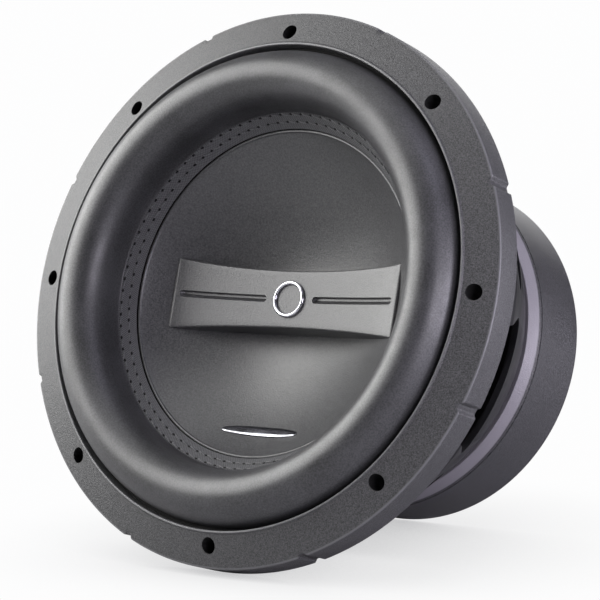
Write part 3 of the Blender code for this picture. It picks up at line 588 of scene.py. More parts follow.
def powder_coat(name, dark, light, roughness):
    """Black powder coat with orange peel."""
    f = Finish(name)
    peel = f.noise(420.0, 2.0)
    wear = f.noise(36.0, 5.0)
    color = f.tint(wear, 0.35, 0.75, dark, light)
    rough = f.spread(wear, 0.3, 0.7, roughness - 0.05, roughness + 0.08)
    return f.done(color, rough, f.bump(peel, 0.00022, 0.35), specular=0.25)


def polished_metal(name, color, shade_color, roughness):
    """Bright or blackened metal with faint clouds."""
    f = Finish(name)
    cloud = f.noise(160.0, 4.0)
    tint = f.tint(cloud, 0.35, 0.7, color, shade_color)
    rough = f.spread(cloud, 0.3, 0.7, roughness * 0.7, roughness * 1.4)
    return f.done(tint, rough, f.bump(f.noise(2400.0, 2.0), 0.00001, 0.2), metallic=1.0)


def turned_metal(name, color, shade_color, roughness, pitch):
    """Plated steel with fine lathe rings around the speaker's axis."""
    f = Finish(name)
    radius, _, depth = f.polar()
    rings = f.wave(f.math("ADD", radius, depth), 2.0 * pi / pitch)
    blotch = f.noise(60.0, 5.0)
    tint = f.tint(blotch, 0.3, 0.7, color, shade_color)
    rough = f.spread(blotch, 0.3, 0.7, roughness - 0.06, roughness + 0.1)
    return f.done(tint, rough, f.bump(rings, 0.00001, 0.5), metallic=1.0)


def sintered(name, dark, light):
    """Pitted grey ferrite."""
    f = Finish(name)
    pits = f.cells(700.0)
    cloud = f.noise(60.0, 5.0)
    color = f.tint(cloud, 0.3, 0.75, dark, light)
    return f.done(color, 0.62, f.bump(pits, 0.00015, 0.5), specular=0.4)


def paper_pulp(name, dark, light):
    """Pressed pulp: matted fibres that run every way."""
    f = Finish(name)
    stretch = f.node("ShaderNodeMapping")
    stretch.inputs["Scale"].default_value = (1.0, 1.0, 0.25)
    f.link(f.place, stretch.inputs["Vector"])
    fibres = f.noise(900.0, 6.0, 0.7, stretch.outputs["Vector"])
    blots = f.noise(150.0, 4.0)
    color = f.tint(f.times(fibres, blots), 0.12, 0.42, dark, light)
    return f.done(color, 0.88, f.bump(fibres, 0.0003, 0.7), specular=0.25)


def woven_cloth(name, dark, light, pitch):
    """Resin-stiffened plain weave, with threads along X and Z."""
    f = Finish(name)
    x, _, z = f.axes()
    weave = f.times(f.wave(x, pi / pitch), f.wave(z, pi / pitch))
    soft = f.noise(500.0, 3.0)
    color = f.tint(f.math("ADD", weave, soft), -0.5, 1.5, dark, light)
    return f.done(color, 0.85, f.bump(weave, 0.00025, 0.7), specular=0.3, sheen=0.1)


def wound_wire(name, dark, light, pitch):
    """Enamelled wire wound around the axis, one turn beside the next."""
    f = Finish(name)
    _, _, depth = f.polar()
    turns = f.math("ABSOLUTE", f.wave(depth, pi / pitch))
    color = f.tint(turns, 0.1, 0.8, dark, light)
    return f.done(color, 0.28, f.bump(turns, 0.0002, 0.9), metallic=1.0)


def braided(name, dark, light):
    """Copper braid: slanting bands of strands."""
    f = Finish(name)
    wave = f.node("ShaderNodeTexWave", wave_type="BANDS", bands_direction="DIAGONAL")
    wave.inputs["Scale"].default_value = 420.0
    wave.inputs["Distortion"].default_value = 1.5
    f.link(f.place, wave.inputs["Vector"])
    color = f.mix(wave.outputs["Fac"], dark, light)
    return f.done(color, 0.42, f.bump(wave.outputs["Fac"], 0.00025, 0.8), metallic=0.85)


def film(name, dark, light):
    """Amber polyimide film with a slight gloss."""
    f = Finish(name)
    streak = f.noise(90.0, 4.0)
    color = f.tint(streak, 0.3, 0.7, dark, light)
    return f.done(color, f.spread(streak, 0.3, 0.7, 0.25, 0.4), specular=0.6, coat=0.3)


def twisted_thread(name, dark, light):
    """Twisted sewing thread."""
    f = Finish(name)
    twist = f.noise(1800.0, 2.0)
    color = f.tint(twist, 0.35, 0.7, dark, light)
    return f.done(color, 0.55, f.bump(twist, 0.0001, 0.8), specular=0.4, sheen=0.2)


# How each finish is made: its function, its colours and its other settings.
FINISH_KINDS = {
    "trim_plastic": (trim_plastic,),
    "surround_rubber": (surround_rubber,),
    "boot_plastic": (boot_plastic,),
    "skirt_cloth": (stitched_cloth, (0.018, 0.018, 0.020), (0.120, 0.120, 0.126)),
    "thread": (twisted_thread, (0.045, 0.045, 0.048), (0.150, 0.150, 0.156)),
    "cap_plastic": (grained_plastic, (0.022, 0.022, 0.024), (0.084, 0.084, 0.087),
                    1000.0, 0.36, 0.00010, 0.8),
    "chrome": (polished_metal, (0.72, 0.72, 0.76), (0.58, 0.58, 0.64), 0.12),
    "smoked_chrome": (polished_metal, (0.40, 0.40, 0.43), (0.30, 0.30, 0.33), 0.16),
    "basket_steel": (powder_coat, (0.007, 0.007, 0.008), (0.013, 0.013, 0.014), 0.4),
    "cone_pulp": (paper_pulp, (0.012, 0.011, 0.010), (0.050, 0.046, 0.042)),
    "former_film": (film, (0.22, 0.09, 0.02), (0.36, 0.17, 0.05)),
    "copper_wire": (wound_wire, (0.20, 0.07, 0.03), (0.78, 0.36, 0.18), 0.6 * MM),
    "spider_cloth": (woven_cloth, (0.10, 0.055, 0.02), (0.40, 0.27, 0.13), 0.8 * MM),
    "fibre_board": (paper_pulp, (0.08, 0.05, 0.025), (0.20, 0.14, 0.07)),
    "ferrite": (sintered, (0.030, 0.029, 0.029), (0.065, 0.062, 0.060)),
    "plated_steel": (turned_metal, (0.58, 0.58, 0.60), (0.42, 0.42, 0.42), 0.30, 0.4 * MM),
    "black_steel": (polished_metal, (0.05, 0.05, 0.055), (0.03, 0.03, 0.03), 0.28),
    "screen_steel": (powder_coat, (0.010, 0.010, 0.010), (0.022, 0.022, 0.022), 0.4),
    "terminal_plastic": (grained_plastic, (0.014, 0.014, 0.015), (0.024, 0.024, 0.026),
                         1200.0, 0.42, 0.0001),
    "red_plastic": (satin_rubber, (0.55, 0.012, 0.010), (0.65, 0.022, 0.018), 0.28),
    "black_plastic": (satin_rubber, (0.016, 0.016, 0.017), (0.024, 0.024, 0.026), 0.30),
    "spring_steel": (polished_metal, (0.62, 0.62, 0.64), (0.45, 0.45, 0.46), 0.2),
    "brass": (polished_metal, (0.80, 0.58, 0.24), (0.62, 0.42, 0.16), 0.25),
    "tinsel_braid": (braided, (0.22, 0.11, 0.05), (0.75, 0.52, 0.32)),
    # Near black: painted shade inside the screw holes and the needle holes.
    "hole_shade": (powder_coat, (0.004, 0.004, 0.004), (0.008, 0.008, 0.008), 0.8),
}
FINISHES = {name: make(name, *values).material for name, (make, *values) in FINISH_KINDS.items()}


# ---------------------------------------------------------------- frame pieces

def evenly_with_notches(angles):
    """Ring angles, closer together around each notch."""
    base = np.linspace(0.0, 2.0 * pi, FINE, endpoint=False)
    window = 2.0 * NOTCH_HALF / TRIM_R
    extra = [angle + np.linspace(-window, window, 33) for angle in angles]
    keep = [a for a in base if all(abs((a - n + pi) % (2.0 * pi) - pi) > window for n in angles)]
    return np.sort(np.concatenate([keep] + [e % (2.0 * pi) for e in extra]))


def make_trim_ring():
    """The moulded ring, with a notch in its wall between each two screw holes."""
    slope = (EDGE_DEPTH - LIP_DEPTH) / (TRIM_R - LIP_R)
    outline = fillet([
        (LIP_R, LIP_DEPTH + 0.2 * MM, 0.25 * MM),
        (LIP_R + 0.3 * MM, LIP_DEPTH - 0.4 * MM, 0.25 * MM),
        (LIP_R + 1.3 * MM, LIP_DEPTH - 0.4 * MM, 0.3 * MM),
        (LIP_R + 2.0 * MM, LIP_DEPTH + 2.0 * MM * slope, 0.4 * MM),
        (LIP_R + 3.0 * MM, LIP_DEPTH + 3.0 * MM * slope, 0.0),
        (TRIM_R - 4.2 * MM, EDGE_DEPTH - 4.2 * MM * slope, 0.0),
        (TRIM_R - 3.2 * MM, EDGE_DEPTH - 3.2 * MM * slope, 0.0),
        (TRIM_R, EDGE_DEPTH, 0.9 * MM),
        (TRIM_R, SEAT_DEPTH, 0.5 * MM),
        (FLANGE_R + 0.4 * MM, SEAT_DEPTH, 0.2 * MM),
        (FLANGE_R + 0.4 * MM, SEAT_DEPTH - 3.3 * MM, 0.0),
        (LAND_R + 0.3 * MM, SEAT_DEPTH - 3.3 * MM, 0.0),
        (LAND_R + 0.3 * MM, SHELF_DEPTH, 0.0),
        (LIP_R, SHELF_DEPTH, 0.2 * MM),
    ])
    notches = [radians(90.0 + HOLE_STEP * (k + 0.5)) for k in range(HOLE_COUNT)]

    def groove(radius, angles):
        """Rounded groove: full depth on its floor, easing out at its shoulders."""
        limit = np.full_like(angles, TRIM_R + 1.0)
        for notch in notches:
            aside = np.abs((angles - notch + pi) % (2.0 * pi) - pi) * TRIM_R
            share = np.clip((NOTCH_HALF - aside) / (NOTCH_HALF - NOTCH_FLOOR * 0.6), 0.0, 1.0)
            ease = share * share * (3.0 - 2.0 * share)
            limit = np.minimum(limit, np.where(aside < NOTCH_HALF, TRIM_R - NOTCH_DEEP * ease,
                                               TRIM_R + 1.0))
        return np.minimum(radius, limit)

    mesh = revolved_mesh("trim_ring_skin", outline, angles=evenly_with_notches(notches), reshape=groove)
    ring = make_piece(mesh, "trim_plastic")
    # The screw holes' walls get the near-black finish: painted shade inside the holes.
    ring.data.materials.append(FINISHES["hole_shade"])
    tool = screw_holes(TRIM_HOLE_R, -0.010, 0.030, 48)
    tool.polygons.foreach_set("material_index", [1] * len(tool.polygons))
    cut(ring, tool)
    settle(ring, 38.0, "frame", "trim_ring")


def window_outline():
    """A basket window, wider towards the rear: across and depth."""
    corners = [(-WINDOW_TOP[0], WINDOW_TOP[1]), (WINDOW_TOP[0], WINDOW_TOP[1]),
               (WINDOW_BOTTOM[0], WINDOW_BOTTOM[1]), (-WINDOW_BOTTOM[0], WINDOW_BOTTOM[1])]
    return fillet([(x, y, WINDOW_CORNER) for x, y in corners])


def make_basket():
    """Flange, sloping cup with windows, spider ledge and base plate."""
    front = SEAT_DEPTH - 3.0 * MM
    lean = (CUP_TOP_R - CUP_BASE_R) / (CUP_BASE_DEPTH - CUP_TOP_DEPTH)

    def cup_inside(depth):
        return CUP_TOP_R - WALL * 1.15 - (depth - CUP_TOP_DEPTH) * lean

    outline = fillet([
        (FLANGE_R, front, 0.8 * MM),
        (FLANGE_R, SEAT_DEPTH, 0.4 * MM),
        (WALL_TOP_R, SEAT_DEPTH, 2.0 * MM),
        (KNEE_R, KNEE_DEPTH, 6.0 * MM),
        (CUP_TOP_R, CUP_TOP_DEPTH, 3.0 * MM),
        (CUP_BASE_R, CUP_BASE_DEPTH, 3.0 * MM),
        (BASE_R, BASE_REAR, 1.5 * MM),
        (BASE_HOLE_R, BASE_REAR, 0.4 * MM),
        (BASE_HOLE_R, BASE_FRONT, 0.4 * MM),
        (BASE_R - 2.0 * MM, BASE_FRONT, 1.0 * MM),
        (cup_inside(LEDGE_DEPTH + WALL), LEDGE_DEPTH + WALL, 1.0 * MM),
        (LEDGE_R, LEDGE_DEPTH + WALL, 0.5 * MM),
        (LEDGE_R, LEDGE_DEPTH, 0.5 * MM),
        (cup_inside(LEDGE_DEPTH), LEDGE_DEPTH, 1.0 * MM),
        (CUP_TOP_R - WALL * 1.2, CUP_TOP_DEPTH - 1.0 * MM, 3.0 * MM),
        (KNEE_R - WALL, KNEE_DEPTH - 1.0 * MM, 6.0 * MM),
        (WALL_TOP_R - WALL - 0.3 * MM, front + 3.0 * MM, 1.0 * MM),
        (LAND_INNER_R, front, 1.0 * MM),
        (LAND_INNER_R, LAND_DEPTH, 0.6 * MM),
        (LAND_R, LAND_DEPTH, 0.6 * MM),
        (LAND_R, front, 0.6 * MM),
    ])
    basket = make_piece(revolved_mesh("basket_skin", outline, 192), "basket_steel")
    for index in range(WINDOW_COUNT):
        angle = SPOKE_ANGLE + 360.0 / WINDOW_COUNT * (index + 0.5)
        window = prism_mesh("window", window_outline(), 0.0, WINDOW_CUT_LONG)
        cut(basket, window, around_axis(angle, WINDOW_CUT_START, 0.0))
    cut(basket, screw_holes(FLANGE_HOLE_R, 0.012, 0.030, 24))
    soften(basket, 0.45 * MM, 50.0)
    settle(basket, 40.0, "frame", "basket")


# ---------------------------------------------------------------- diaphragm

def dish_depth(radius):
    """The dish is part of a sphere."""
    return DISH_DEPTH - (DISH_SPHERE_R - sqrt(DISH_SPHERE_R**2 - radius**2))


def skirt_depth(radius):
    """The surround's skirt slopes to the rear towards the axis."""
    return SKIRT_DEPTH + SKIRT_SLOPE * (SKIRT_R - radius)


def bar_face(x):
    """Depth of the bowed face, which stays just proud of the dish at both ends."""
    return BAR_DEPTH - BAR_BOW * (x / BAR_SPAN) ** 2 - BAR_END_RISE * (x / BAR_HALF_LENGTH) ** 10


def bar_half_height(x):
    return BAR_HALF_HEIGHT + BAR_FLARE * (x / BAR_SPAN) ** 2


def surround_line():
    """Front of the surround from its skirt over the roll to its glued edge."""
    skirt = [(r, skirt_depth(r)) for r in np.linspace(SKIRT_INNER_R, SKIRT_OUTER_R, 8)]
    foot = (ROLL_R - ROLL_HALF - 0.3 * MM, 9.0 * MM)
    roll = arc((ROLL_R, ROLL_DEPTH), ROLL_HALF, ROLL_HIGH, 180.0, 360.0, 49)
    outer = [(ROLL_R + ROLL_HALF + 0.5 * MM, 5.2 * MM), (LAND_R - 3.6 * MM, SURROUND_SEAT),
             (LAND_R - 0.5 * MM, SURROUND_SEAT)]
    return smoothed(skirt + [foot] + roll + outer)


def smoothed(line, longest=0.6 * MM, passes=3):
    """The line resampled to short steps and relaxed, so that its bends are round."""
    points = np.array(line)
    even = resampled(points, int(run_along(points)[-1] / longest) + 1)
    for _ in range(passes):
        even[1:-1] = (even[:-2] + 2.0 * even[1:-1] + even[2:]) / 4.0
    return [tuple(p) for p in even]


def settle_flexible(obj, node):
    """Shades a piece for a CAD node, hides the node and bakes the piece's placement into its mesh. It reads
    the vertex positions but does nothing with them.
    """
    shade(obj, 60.0)
    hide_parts(node)
    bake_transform(obj)
    co = np.zeros(len(obj.data.vertices) * 3, np.float32)
    obj.data.vertices.foreach_get("co", co)


def make_surround():
    """The rubber roll with its skirt and its glued edge, in one moulding."""
    mesh = revolved_mesh("surround_roll", thickened(surround_line(), SURROUND_THICK), FINE)
    surround = make_piece(mesh, "surround_rubber")
    settle_flexible(surround, "surround")


def make_skirt_band():
    """The woven band that is sewn on the surround's skirt."""
    inner, outer = SKIRT_INNER_R - 0.5 * MM, SKIRT_OUTER_R - 0.2 * MM
    out = Vector((-SKIRT_SLOPE, -1.0)).normalized() * 0.35 * MM
    line = [(r + out.x, skirt_depth(r) + out.y, 0.15 * MM if r in (inner, outer) else 0.0)
            for r in np.linspace(inner, outer, 7)]
    base = [(r, skirt_depth(r) + 0.2 * MM, 0.0) for r in (outer, inner)]
    outline = fillet(line + base)
    band = make_piece(revolved_mesh("skirt_band", outline, FINE), "skirt_cloth")
    settle(band, 45.0, "diaphragm")


def make_stitches():
    """Two rows of short lock stitches, each thread diving into a needle hole at both ends; each needle hole
    is a near-black lens, painted shade.
    """
    threads, pits = bmesh.new(), bmesh.new()
    pitch = 2.0 * pi / STITCH_COUNT
    for row, radius in enumerate(STITCH_ROWS):
        for index in range(STITCH_COUNT):
            middle = (index + 0.5 * row) * pitch
            path = []
            for share in np.linspace(-0.5, 0.5, 9).tolist():
                theta = middle + share * pitch * STITCH_FILL
                rise = 0.1 * MM + STITCH_HIGH * cos(pi * share)
                path.append(skirt_point(theta, radius + STITCH_SLANT * share, rise))
            tube(threads, path, STITCH_THICK, 8)
            # Each needle hole is a dark lens on the band: painted shade.
            needle = middle + 0.5 * pitch
            disc(pits, skirt_point(needle, radius, 0.42 * MM), needle, NEEDLE_R)
    for name, bm, finish in (("skirt_threads", threads, "thread"), ("needle_holes", pits, "hole_shade")):
        settle(make_piece(finished_mesh(name, bm), finish), 60.0, "diaphragm")


def skirt_normal(theta):
    flat = Vector((-SKIRT_SLOPE, -1.0)).normalized()
    return Vector((flat.x * cos(theta), flat.y, flat.x * sin(theta)))


def skirt_point(theta, radius, rise):
    base = Vector((radius * cos(theta), y_of(skirt_depth(radius)), radius * sin(theta)))
    return base + skirt_normal(theta) * rise


def tube(bm, path, radius, sides):
    """Adds a closed round tube along a path of points."""
    rings = []
    for index, point in enumerate(path):
        ahead = (path[min(index + 1, len(path) - 1)] - path[max(index - 1, 0)]).normalized()
        side = ahead.orthogonal().normalized()
        other = ahead.cross(side)
        rings.append(circle(bm, point, side * radius, other * radius, sides))
    for low, high in zip(rings, rings[1:]):
        offset = min(range(sides), key=lambda k: (high[k].co - low[0].co).length)
        for k in range(sides):
            bm.faces.new((low[k], low[(k + 1) % sides],
                          high[(k + 1 + offset) % sides], high[(k + offset) % sides]))
    bm.faces.new(rings[0][::-1])
    bm.faces.new(rings[-1])


def disc(bm, centre, theta, radius):
    """Adds a shallow lens that lies on the skirt."""
    normal = skirt_normal(theta)
    side = Vector((-sin(theta), 0.0, cos(theta)))
    other = normal.cross(side) * NEEDLE_SQUEEZE
    sides = 12
    rims = []
    for lift, share in ((-0.2 * MM, 0.8), (0.0, 1.0)):
        reach = radius * share
        rims.append(circle(bm, centre + normal * lift, side * reach, other * reach, sides))
    bridge(bm, rims)
    bm.faces.new(rims[0][::-1])
    bm.faces.new(rims[1])


def make_cone():
    """The paper cone behind the dish, from the coil former to the surround's skirt."""
    radii = np.linspace(FORMER_R + 0.3 * MM, CONE_OUTER_R, 24)
    front = [(r, skirt_depth(r) + 3.0 * MM) for r in radii]
    back = [(r, d + 2.6 * MM) for r, d in front[::-1]]
    cone = make_piece(revolved_mesh("cone_body", front + back, MEDIUM), "cone_pulp")
    settle(cone, 32.0, "diaphragm", "cone")


def bar_section(x, sink=0.0):
    """The bar's section at x as (z, depth) points, from its low back edge round to its high one."""
    half = bar_half_height(x) - sink * 0.4
    wall = half + BAR_DRAFT
    face = bar_face(x) + sink

    def back(z):
        return dish_depth(hypot(x, z)) + 1.9 * MM

    corner = fillet([(-wall, back(wall), 0.0), (-half, face, BAR_ROUND), (0.0, face, 0.0)], closed=False)
    low = evened(corner[:-1])
    inner = [(z, face) for z in np.linspace(low[-1][0], -low[-1][0], 14)[1:-1]]
    high = [(-z, d) for z, d in low[::-1]]
    rear = [(z, back(abs(z))) for z in np.linspace(wall, -wall, 14)[1:-1]]
    return low + inner + high + rear


def evened(corner):
    """The wall and its rounded corner on a fixed number of points, so that sections match."""
    points = np.array(corner)
    wall = points[0] + (points[1] - points[0]) * np.linspace(0.0, 1.0, 5)[:-1, None]
    return [tuple(p) for p in np.concatenate([wall, resampled(points[1:], 8)])]


def make_bar_mesh():
    """The bar as a loft of sections, with both ends rounded over."""
    flat_end = BAR_HALF_LENGTH - BAR_END_ROUND
    stations = [(x, 0.0) for x in np.linspace(-flat_end, flat_end, 107)]
    turned_end = [(flat_end + BAR_END_ROUND * sin(a), BAR_END_ROUND * (1.0 - cos(a)))
                  for a in np.radians(np.linspace(8.0, 60.0, 8))]
    stations = [(-x, sink) for x, sink in turned_end[::-1]] + stations + turned_end
    bm = bmesh.new()
    rings = []
    for x, sink in stations:
        rings.append([bm.verts.new((x, y_of(d), z)) for z, d in bar_section(x, sink)])
    bridge(bm, rings)
    bm.faces.new(rings[0])
    bm.faces.new(rings[-1][::-1])
    return finished_mesh("bar", bm)


def make_slot_mesh(side):
    """A round-ended groove along the bar's bow: a steep upper wall and a sloping lower one."""
    def ring(high, low, sink):
        middle, half = (high + low) / 2.0, (high - low) / 2.0
        inset = SLOT_HALF - half
        left = arc((SLOT_START + inset + half, middle), half, half, 90.0, 270.0, 13)
        right = arc((SLOT_END - inset - half, middle), half, half, -90.0, 90.0, 13)
        run = list(np.linspace(left[0][0], right[0][0], 24))[1:-1]
        bottom = [(x, middle - half) for x in run]
        top = [(x, middle + half) for x in run[::-1]]
        return [(side * x, y_of(bar_face(x) + sink), z) for x, z in left + bottom + right + top]

    wide = SLOT_HALF
    levels = ((wide + 2.2 * MM, -wide - 2.2 * MM, -2.4 * MM), (wide + 0.4 * MM, -wide - 0.5 * MM, -0.4 * MM),
              (wide + 0.1 * MM, -wide - 0.2 * MM, 0.0), (wide, -wide, 0.25 * MM),
              (wide - 0.2 * MM, -wide + 1.5 * MM, SLOT_DEEP - 0.5 * MM),
              (wide - 0.5 * MM, -wide + 2.1 * MM, SLOT_DEEP))
    bm = bmesh.new()
    rings = [[bm.verts.new(p) for p in ring(*level)] for level in levels]
    bridge(bm, rings)
    for cap in (rings[0], rings[-1]):
        bmesh.ops.triangulate(bm, faces=[bm.faces.new(cap)])
    return finished_mesh("slot", bm)


def make_dust_cap():
    """The concave dish and its rim lip, with the bar across it and the bar's two slots."""
    lip = [(DISH_RIM_R, DISH_RIM_DEPTH + 2.2 * MM, 0.0), (DISH_RIM_R, DISH_RIM_DEPTH, 0.5 * MM),
           (DISH_RIM_R - 1.3 * MM, DISH_RIM_DEPTH - 0.1 * MM, 0.5 * MM),
           (DISH_RIM_R - 1.8 * MM, dish_depth(DISH_RIM_R - 1.8 * MM), 0.3 * MM),
           (DISH_RIM_R - 4.0 * MM, dish_depth(DISH_RIM_R - 4.0 * MM), 0.0)]
    front = [(r, dish_depth(r)) for r in np.linspace(DISH_RIM_R - 5.5 * MM, 0.0, 40)]
    back = [(r, dish_depth(r) + 2.0 * MM * DISH_SPHERE_R / sqrt(DISH_SPHERE_R**2 - r**2))
            for r in np.linspace(0.0, DISH_RIM_R - 2.2 * MM, 30)]
    outline = back + fillet(lip, closed=False) + front
    cap = make_piece(revolved_mesh("dust_cap_dish", outline, FINE), "cap_plastic")
    cut(cap, make_bar_mesh(), operation="UNION")
    cut(cap, make_slot_mesh(1.0))
    cut(cap, make_slot_mesh(-1.0))
    settle(cap, 30.0, "diaphragm", "dust_cap")


def make_badge():
    """A plain chrome ring on the middle of the bar."""
    rear = BAR_DEPTH - 0.1 * MM
    outline = [(BADGE_R + BADGE_HALF, rear), (BADGE_R + BADGE_HALF, rear - 0.7 * MM)]
    outline += arc((BADGE_R, rear - 0.7 * MM), BADGE_HALF, 1.1 * MM, 0.0, -180.0, 15)[1:]
    outline += [(BADGE_R - BADGE_HALF, rear)]
    badge = make_piece(revolved_mesh("badge_ring", outline, MEDIUM), "chrome")
    settle(badge, 50.0, "diaphragm", "cap_badge")


def make_nameplate():
    """A blank slim chrome plate with a crowned face, laid along the dish."""
    low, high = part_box("cap_nameplate")
    centre_z, half_x, half_z = (low.z + high.z) / 2.0, high.x, (high.z - low.z) / 2.0
    columns, rows = 64, 12
    bm = bmesh.new()
    grids = []
    for level in range(2):
        grid = []
        for i in range(columns + 1):
            u = 2.0 * i / columns - 1.0
            taper = sqrt(max(1.0 - abs(u) ** 3, 0.0)) * 0.93 + 0.07
            line = []
            for j in range(rows + 1):
                v = 2.0 * j / rows - 1.0
                x, z = u * half_x * 0.99, centre_z + v * half_z * taper
                crown = (1.0 - v**4) * (1.0 - abs(u) ** 12)
                lift = 0.1 * MM if level else (0.35 + 0.75 * crown) * MM
                line.append(bm.verts.new((x, y_of(dish_depth(hypot(x, z)) - lift * 1.2), z)))
            grid.append(line)
        grids.append(grid)
    for grid in grids:
        for i in range(columns):
            for j in range(rows):
                bm.faces.new((grid[i][j], grid[i + 1][j], grid[i + 1][j + 1], grid[i][j + 1]))
    front, back = grids
    edge = [(i, 0) for i in range(columns)] + [(columns, j) for j in range(rows)]
    edge += [(i, rows) for i in range(columns, 0, -1)] + [(0, j) for j in range(rows, 0, -1)]
    for (i, j), (k, m) in zip(edge, edge[1:] + edge[:1]):
        bm.faces.new((front[i][j], front[k][m], back[k][m], back[i][j]))
    plate = make_piece(finished_mesh("nameplate_blank", bm), "smoked_chrome")
    settle(plate, 40.0, "diaphragm", "cap_nameplate")


def make_spider():
    """Rolled corrugations between the coil former and the clamp ring."""
    first, last = FORMER_R + 3.3 * MM, LEDGE_R - 1.0 * MM
    line = [(FORMER_R + 0.3 * MM, SPIDER_DEPTH)]
    for share in np.linspace(0.0, 1.0, SPIDER_WAVES * 16 + 1).tolist():
        fade = min(1.0, share * SPIDER_WAVES * 2.0, (1.0 - share) * SPIDER_WAVES * 2.0)
        swing = SPIDER_SWING * fade * sin(2.0 * pi * SPIDER_WAVES * share)
        line.append((first + (last - first) * share, SPIDER_DEPTH - swing))
    line.append((SPIDER_R, SPIDER_DEPTH))
    back = [(r, d + 0.7 * MM) for r, d in line[::-1]]
    spider = make_piece(revolved_mesh("spider_cloth_disc", line + back, MEDIUM), "spider_cloth")
    settle_flexible(spider, "spider")


def make_tube_piece(name, node, finish, body):
    """A round replacement for a CAD sleeve, ring or plate, read from its own mesh."""
    points = np.array([v.co for v in frame["nodes"][node].data.vertices])
    radius = np.hypot(points[:, 0], points[:, 2])
    inner, outer = radius.min(), radius.max()
    start, end = points[:, 1].min() - HOLE_PLANE_Y, points[:, 1].max() - HOLE_PLANE_Y
    size = min(0.4 * MM, (outer - inner) * 0.3, (end - start) * 0.3)
    outline = fillet([(outer, start, size), (outer, end, size), (inner, end, size), (inner, start, size)])
    settle(make_piece(revolved_mesh(name, outline, MEDIUM), finish), 50.0, body, node)


# ---------------------------------------------------------------- motor

def make_boot():
    """The motor's cover: a lip round the basket, a bevelled shoulder, and a grooved rear."""
    back = REAR_DEPTH
    outline = fillet([
        (BOOT_LIP_R, SHOULDER_DEPTH - 5.0 * MM, 0.3 * MM),
        (BOOT_LIP_R + 3.4 * MM, SHOULDER_DEPTH - 5.8 * MM, 0.5 * MM),
        (SHOULDER_R, SHOULDER_DEPTH, 0.5 * MM),
        (BOOT_R, SHOULDER_DEPTH + 1.8 * MM, 0.6 * MM),
        (BOOT_R, back, 3.0 * MM),
        (GROOVE_R + GROOVE_HALF, back, 0.5 * MM),
        (GROOVE_R + GROOVE_HALF / 2.0, back - GROOVE_DEEP, 0.5 * MM),
        (GROOVE_R - GROOVE_HALF / 2.0, back - GROOVE_DEEP, 0.5 * MM),
        (GROOVE_R - GROOVE_HALF, back, 0.5 * MM),
        (RECESS_R, back, 0.5 * MM),
        (RECESS_R - 1.5 * MM, back - RECESS_DEEP, 0.5 * MM),
        (BOOT_HOLE_R, back - RECESS_DEEP, 0.5 * MM),
        (BOOT_HOLE_R, back - 2.6 * MM, 0.0),
        (BOOT_R - BOOT_WALL, back - 2.6 * MM, 0.0),
        (BOOT_R - BOOT_WALL, SHOULDER_DEPTH - 2.0 * MM, 0.0),
        (BOOT_LIP_R, SHOULDER_DEPTH - 2.7 * MM, 0.0),
    ])
    boot = make_piece(revolved_mesh("boot_cover", outline, FINE), "boot_plastic")
    settle(boot, 40.0, "frame", "magnet_boot")


def make_vent_screen():
    """Woven wire in a flat rim."""
    low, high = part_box("vent_screen")
    middle = (low.y + high.y) / 2.0
    radius = high.x
    bm = bmesh.new()
    pitch, wire = 1.9 * MM, 0.28 * MM
    count = int(radius / pitch)
    for axis in (0, 1):
        for line in range(-count, count + 1):
            aside = line * pitch
            reach = sqrt(max((radius - 1.2 * MM) ** 2 - aside**2, 0.0))
            if reach < pitch:
                continue
            steps = max(6, int(2.0 * reach / pitch * 4))
            path = []
            for along in np.linspace(-reach, reach, steps + 1).tolist():
                lift = 0.26 * MM * cos(pi * (along / pitch + line + axis))
                spot = (along, aside) if axis == 0 else (aside, along)
                path.append(Vector((spot[0], middle + lift, spot[1])))
            tube(bm, path, wire, 6)
    settle(make_piece(finished_mesh("vent_mesh", bm), "screen_steel"), 60.0, "frame", "vent_screen")
    start, end, inner = low.y - HOLE_PLANE_Y, high.y - HOLE_PLANE_Y, radius - 2.2 * MM
    rim = fillet([(radius, start, 0.2 * MM), (radius, end, 0.2 * MM),
                  (inner, end, 0.3 * MM), (inner, start, 0.3 * MM)])
    settle(make_piece(revolved_mesh("vent_rim", rim, MEDIUM), "screen_steel"), 50.0, "frame")


def make_yoke():
    """The vented pole and the back plate, turned from one blank."""
    start, end = (corner.y - HOLE_PLANE_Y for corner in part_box("pole_yoke"))
    plate = end - YOKE_THICK
    outline = fillet([
        (POLE_VENT_R, start, 0.6 * MM), (POLE_R, start, 1.2 * MM), (POLE_R, plate, 0.0),
        (YOKE_R, plate, 0.8 * MM), (YOKE_R, end, 1.0 * MM), (POLE_VENT_R + 3.0 * MM, end, 1.0 * MM),
        (POLE_VENT_R, end - 8.0 * MM, 1.0 * MM),
    ])
    yoke = make_piece(revolved_mesh("yoke_turned", outline, MEDIUM), "plated_steel")
    settle(yoke, 40.0, "frame", "pole_yoke")


# ---------------------------------------------------------------- terminals and leads

def block_place(angle):
    """A terminal block's own frame: local Z points out of the sloping cup wall."""
    return around_axis(angle, BLOCK_R, BLOCK_DEPTH) @ Matrix.Rotation(-BLOCK_TILT, 4, "X")


def lead_path(angle, side):
    """Cubic path from a solder lug, in through a basket window, to the coil former."""
    lug = block_place(angle) @ Vector((side * POCKET_X, -LUG_REACH, LUG_HIGH))
    out = Vector((cos(radians(angle)), 0.0, sin(radians(angle))))
    rear = Vector((0.0, 1.0, 0.0))
    aside = rear.cross(out) * side * POCKET_X
    rise = lug + out * LEAD_RISE_OUT - rear * LEAD_RISE_FORWARD
    dip = out * LEAD_DIP_R + aside * 0.8 + rear * y_of(LEAD_DIP_DEPTH)
    end = (out * FORMER_R + aside * 0.5).normalized() * (FORMER_R + 0.3 * MM + LEAD_R)
    end = end + rear * y_of(LEAD_END_DEPTH)
    path = []
    for t in np.linspace(0.0, 1.0, 37).tolist():
        weights = ((1 - t) ** 3, 3 * t * (1 - t) ** 2, 3 * t * t * (1 - t), t**3)
        path.append(sum((w * p for w, p in zip(weights, (lug, rise, dip, end))), Vector()))
    return path


